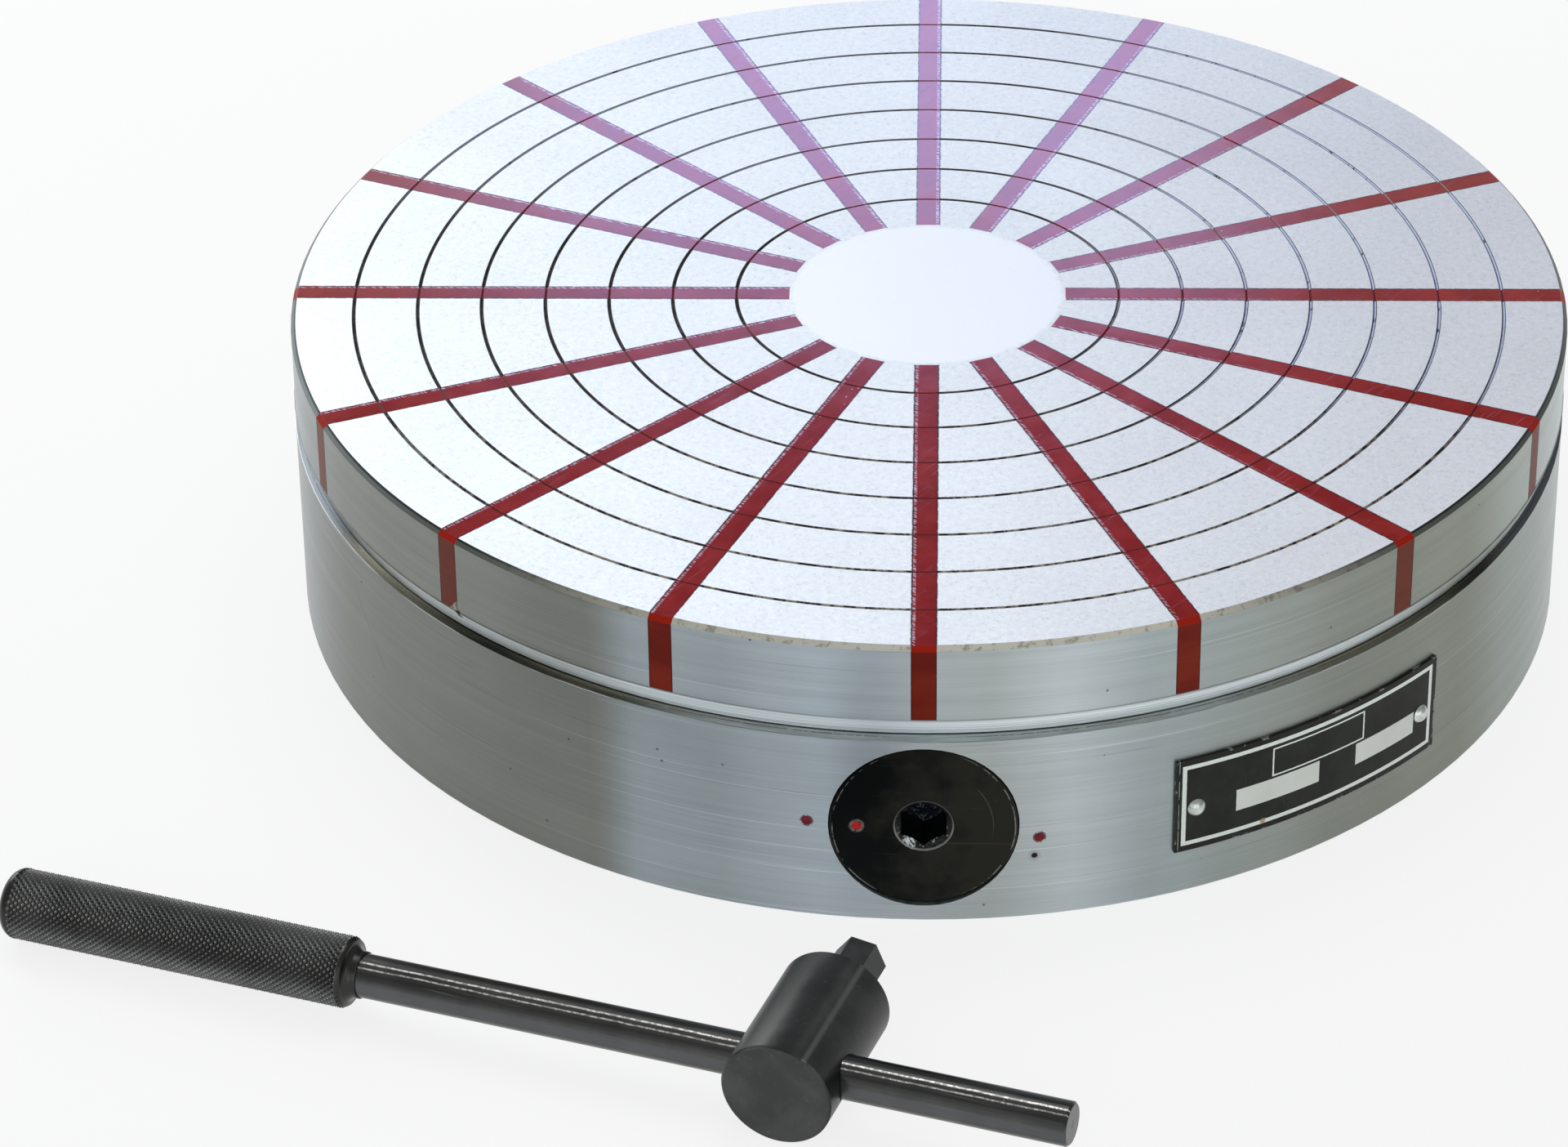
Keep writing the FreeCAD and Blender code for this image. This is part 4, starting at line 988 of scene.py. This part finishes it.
# Knurled grip of the key, along the bar towards -X before it is laid in place

gripShape = {
    "radius": 8.0 * mm,
    "neckAt": 99.6 * mm,
    "neckRadius": 5.2 * mm,
    "throatRadius": 2.2 * mm,
    "shoulderRadius": 7.36 * mm,
    "shoulderAt": 103.4 * mm,
    "end": 185.3 * mm,
    "endRound": 3.0 * mm,
    "boreRadius": 4.87 * mm,
    "boreEnd": 159.6 * mm,
    "diamondsAround": 34,
    "diamondLength": 1.66 * mm,
    "knurlDepth": 0.56 * mm,
    "roundSteps": 6,
    "black": ((0.088, 0.087, 0.085), (0.140, 0.138, 0.135)),
    "crestWearAndGlint": (0.60, 0.60, 0.58),
    "smooth": (0.045, 0.044, 0.042),  # the two rounded ends
}


def gripProfile(start, stop, rows):  # place along the bar and radius, from the bore's end to the grip's end
    g = gripShape
    profile = [(g["boreEnd"], 0), (g["boreEnd"], g["boreRadius"]),
               (g["neckAt"], g["boreRadius"]), (g["neckAt"], g["neckRadius"])]
    turns = [radians(90 * k / g["roundSteps"]) for k in range(g["roundSteps"] + 1)]
    throatStart = g["neckAt"] + g["throatRadius"] / 4
    for turn in turns:
        profile.append((throatStart + g["throatRadius"] * sin(turn),
                        g["neckRadius"] + (g["shoulderRadius"] - g["neckRadius"]) * (1 - cos(turn))))
    for k in range(rows + 1):
        profile.append((start + (stop - start) * k / rows, g["radius"]))
    for turn in turns[1:]:
        profile.append((stop + g["endRound"] * sin(turn), g["radius"] - g["endRound"] * (1 - cos(turn))))
    return profile + [(g["end"], 0)]


def knurledGrip():
    g = gripShape
    columns = 2 * g["diamondsAround"]
    start, stop = g["shoulderAt"], g["end"] - g["endRound"]
    rows = 2 * round((stop - start) / g["diamondLength"])
    shape = bmesh.new()
    corners = [shape.verts.new((-along, 0, out)) for along, out in gripProfile(start, stop, rows)]
    edges = [shape.edges.new(pair) for pair in zip(corners, corners[1:])]
    bmesh.ops.spin(shape, geom=corners + edges, cent=(0, 0, 0), axis=(1, 0, 0), angle=2 * pi, steps=columns,
                   use_merge=True)
    bmesh.ops.remove_doubles(shape, verts=shape.verts, dist=0.001 * mm)

    # The spin orders its faces anew in each run, so they are put in one order
    shape.verts.index_update()
    corners = len(shape.verts)
    shape.faces.sort(key=lambda face: min(vert.index for vert in face.verts) * corners
                     + sum(vert.index for vert in face.verts))

    # Every second crossing of rows and columns is sunk, which leaves the diamonds standing
    valleys = []
    for vert in shape.verts:
        out = Vector((vert.co.y, vert.co.z))
        row = (-vert.co.x - start) / (stop - start) * rows
        if -0.5 < row < rows + 0.5 and out.length > g["radius"] - 0.01 * mm:
            column = round(out.angle_signed(Vector((0, 1))) / (2 * pi) * columns)
            if (round(row) + column) % 2:
                valleys.append(vert)
    sunk = (g["radius"] - g["knurlDepth"]) / g["radius"]
    bmesh.ops.scale(shape, vec=(1, sunk, sunk), verts=valleys)
    bmesh.ops.connect_verts(shape, verts=valleys)
    bmesh.ops.recalc_face_normals(shape, faces=shape.faces)
    for face in shape.faces:
        face.smooth = not start < -face.calc_center_median().x < stop

    place = Matrix.Translation(keyPlace["cross"]) @ Matrix.Rotation(radians(keyPlace["turn"]), 4, "Z")
    place = place @ Matrix.Rotation(-asin(keyPlace["slope"]), 4, "Y")
    bmesh.ops.transform(shape, matrix=place, verts=shape.verts)
    mesh = bpy.data.meshes.new("knurled_grip")
    shape.to_mesh(mesh)
    shape.free()
    piece = bpy.data.objects.new("knurled_grip", mesh)
    scene.collection.objects.link(piece)
    return piece


def gripFinish():
    finish = Finish("blackGrip")
    g = gripShape
    cloud = finish.noise((70, 70, 70), 3.0, 0.6)
    grit = finish.noise((1500, 1500, 1500), 2.0, 0.6)
    along, across, up = keyAxes(finish)
    # Bright crests: worn steel, and painted glints on the knurl's peaks
    crestWearAndGlint = finish.step(finish.far(across, up), g["radius"] - 0.20 * mm, g["radius"] - 0.02 * mm)
    end = g["endRound"] - g["end"]
    smooth = finish.step(along, -g["shoulderAt"], 0.3 * mm - g["shoulderAt"])
    smooth = smooth + finish.fade(along, end - 0.1 * mm, end)
    tone = finish.layered(
        finish.mix(finish.step(cloud, 0.35, 0.7), *g["black"]),
        (crestWearAndGlint * (0.35 + finish.step(grit, 0.4, 0.6) * 0.65), g["crestWearAndGlint"]),
        (smooth, g["smooth"]))
    roughness = 0.30 + cloud * 0.1 - smooth * 0.08
    return finish.done(finish.shader(tone, roughness, 0.9, finish.bump(grit, 0.01 * mm)))


grip = knurledGrip()
grip.data.materials.append(gripFinish())
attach(grip, "key")
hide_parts("key_grip")
print("knurled grip made,", len(grip.data.polygons), "faces")

scene.view_settings.view_transform = "Standard"
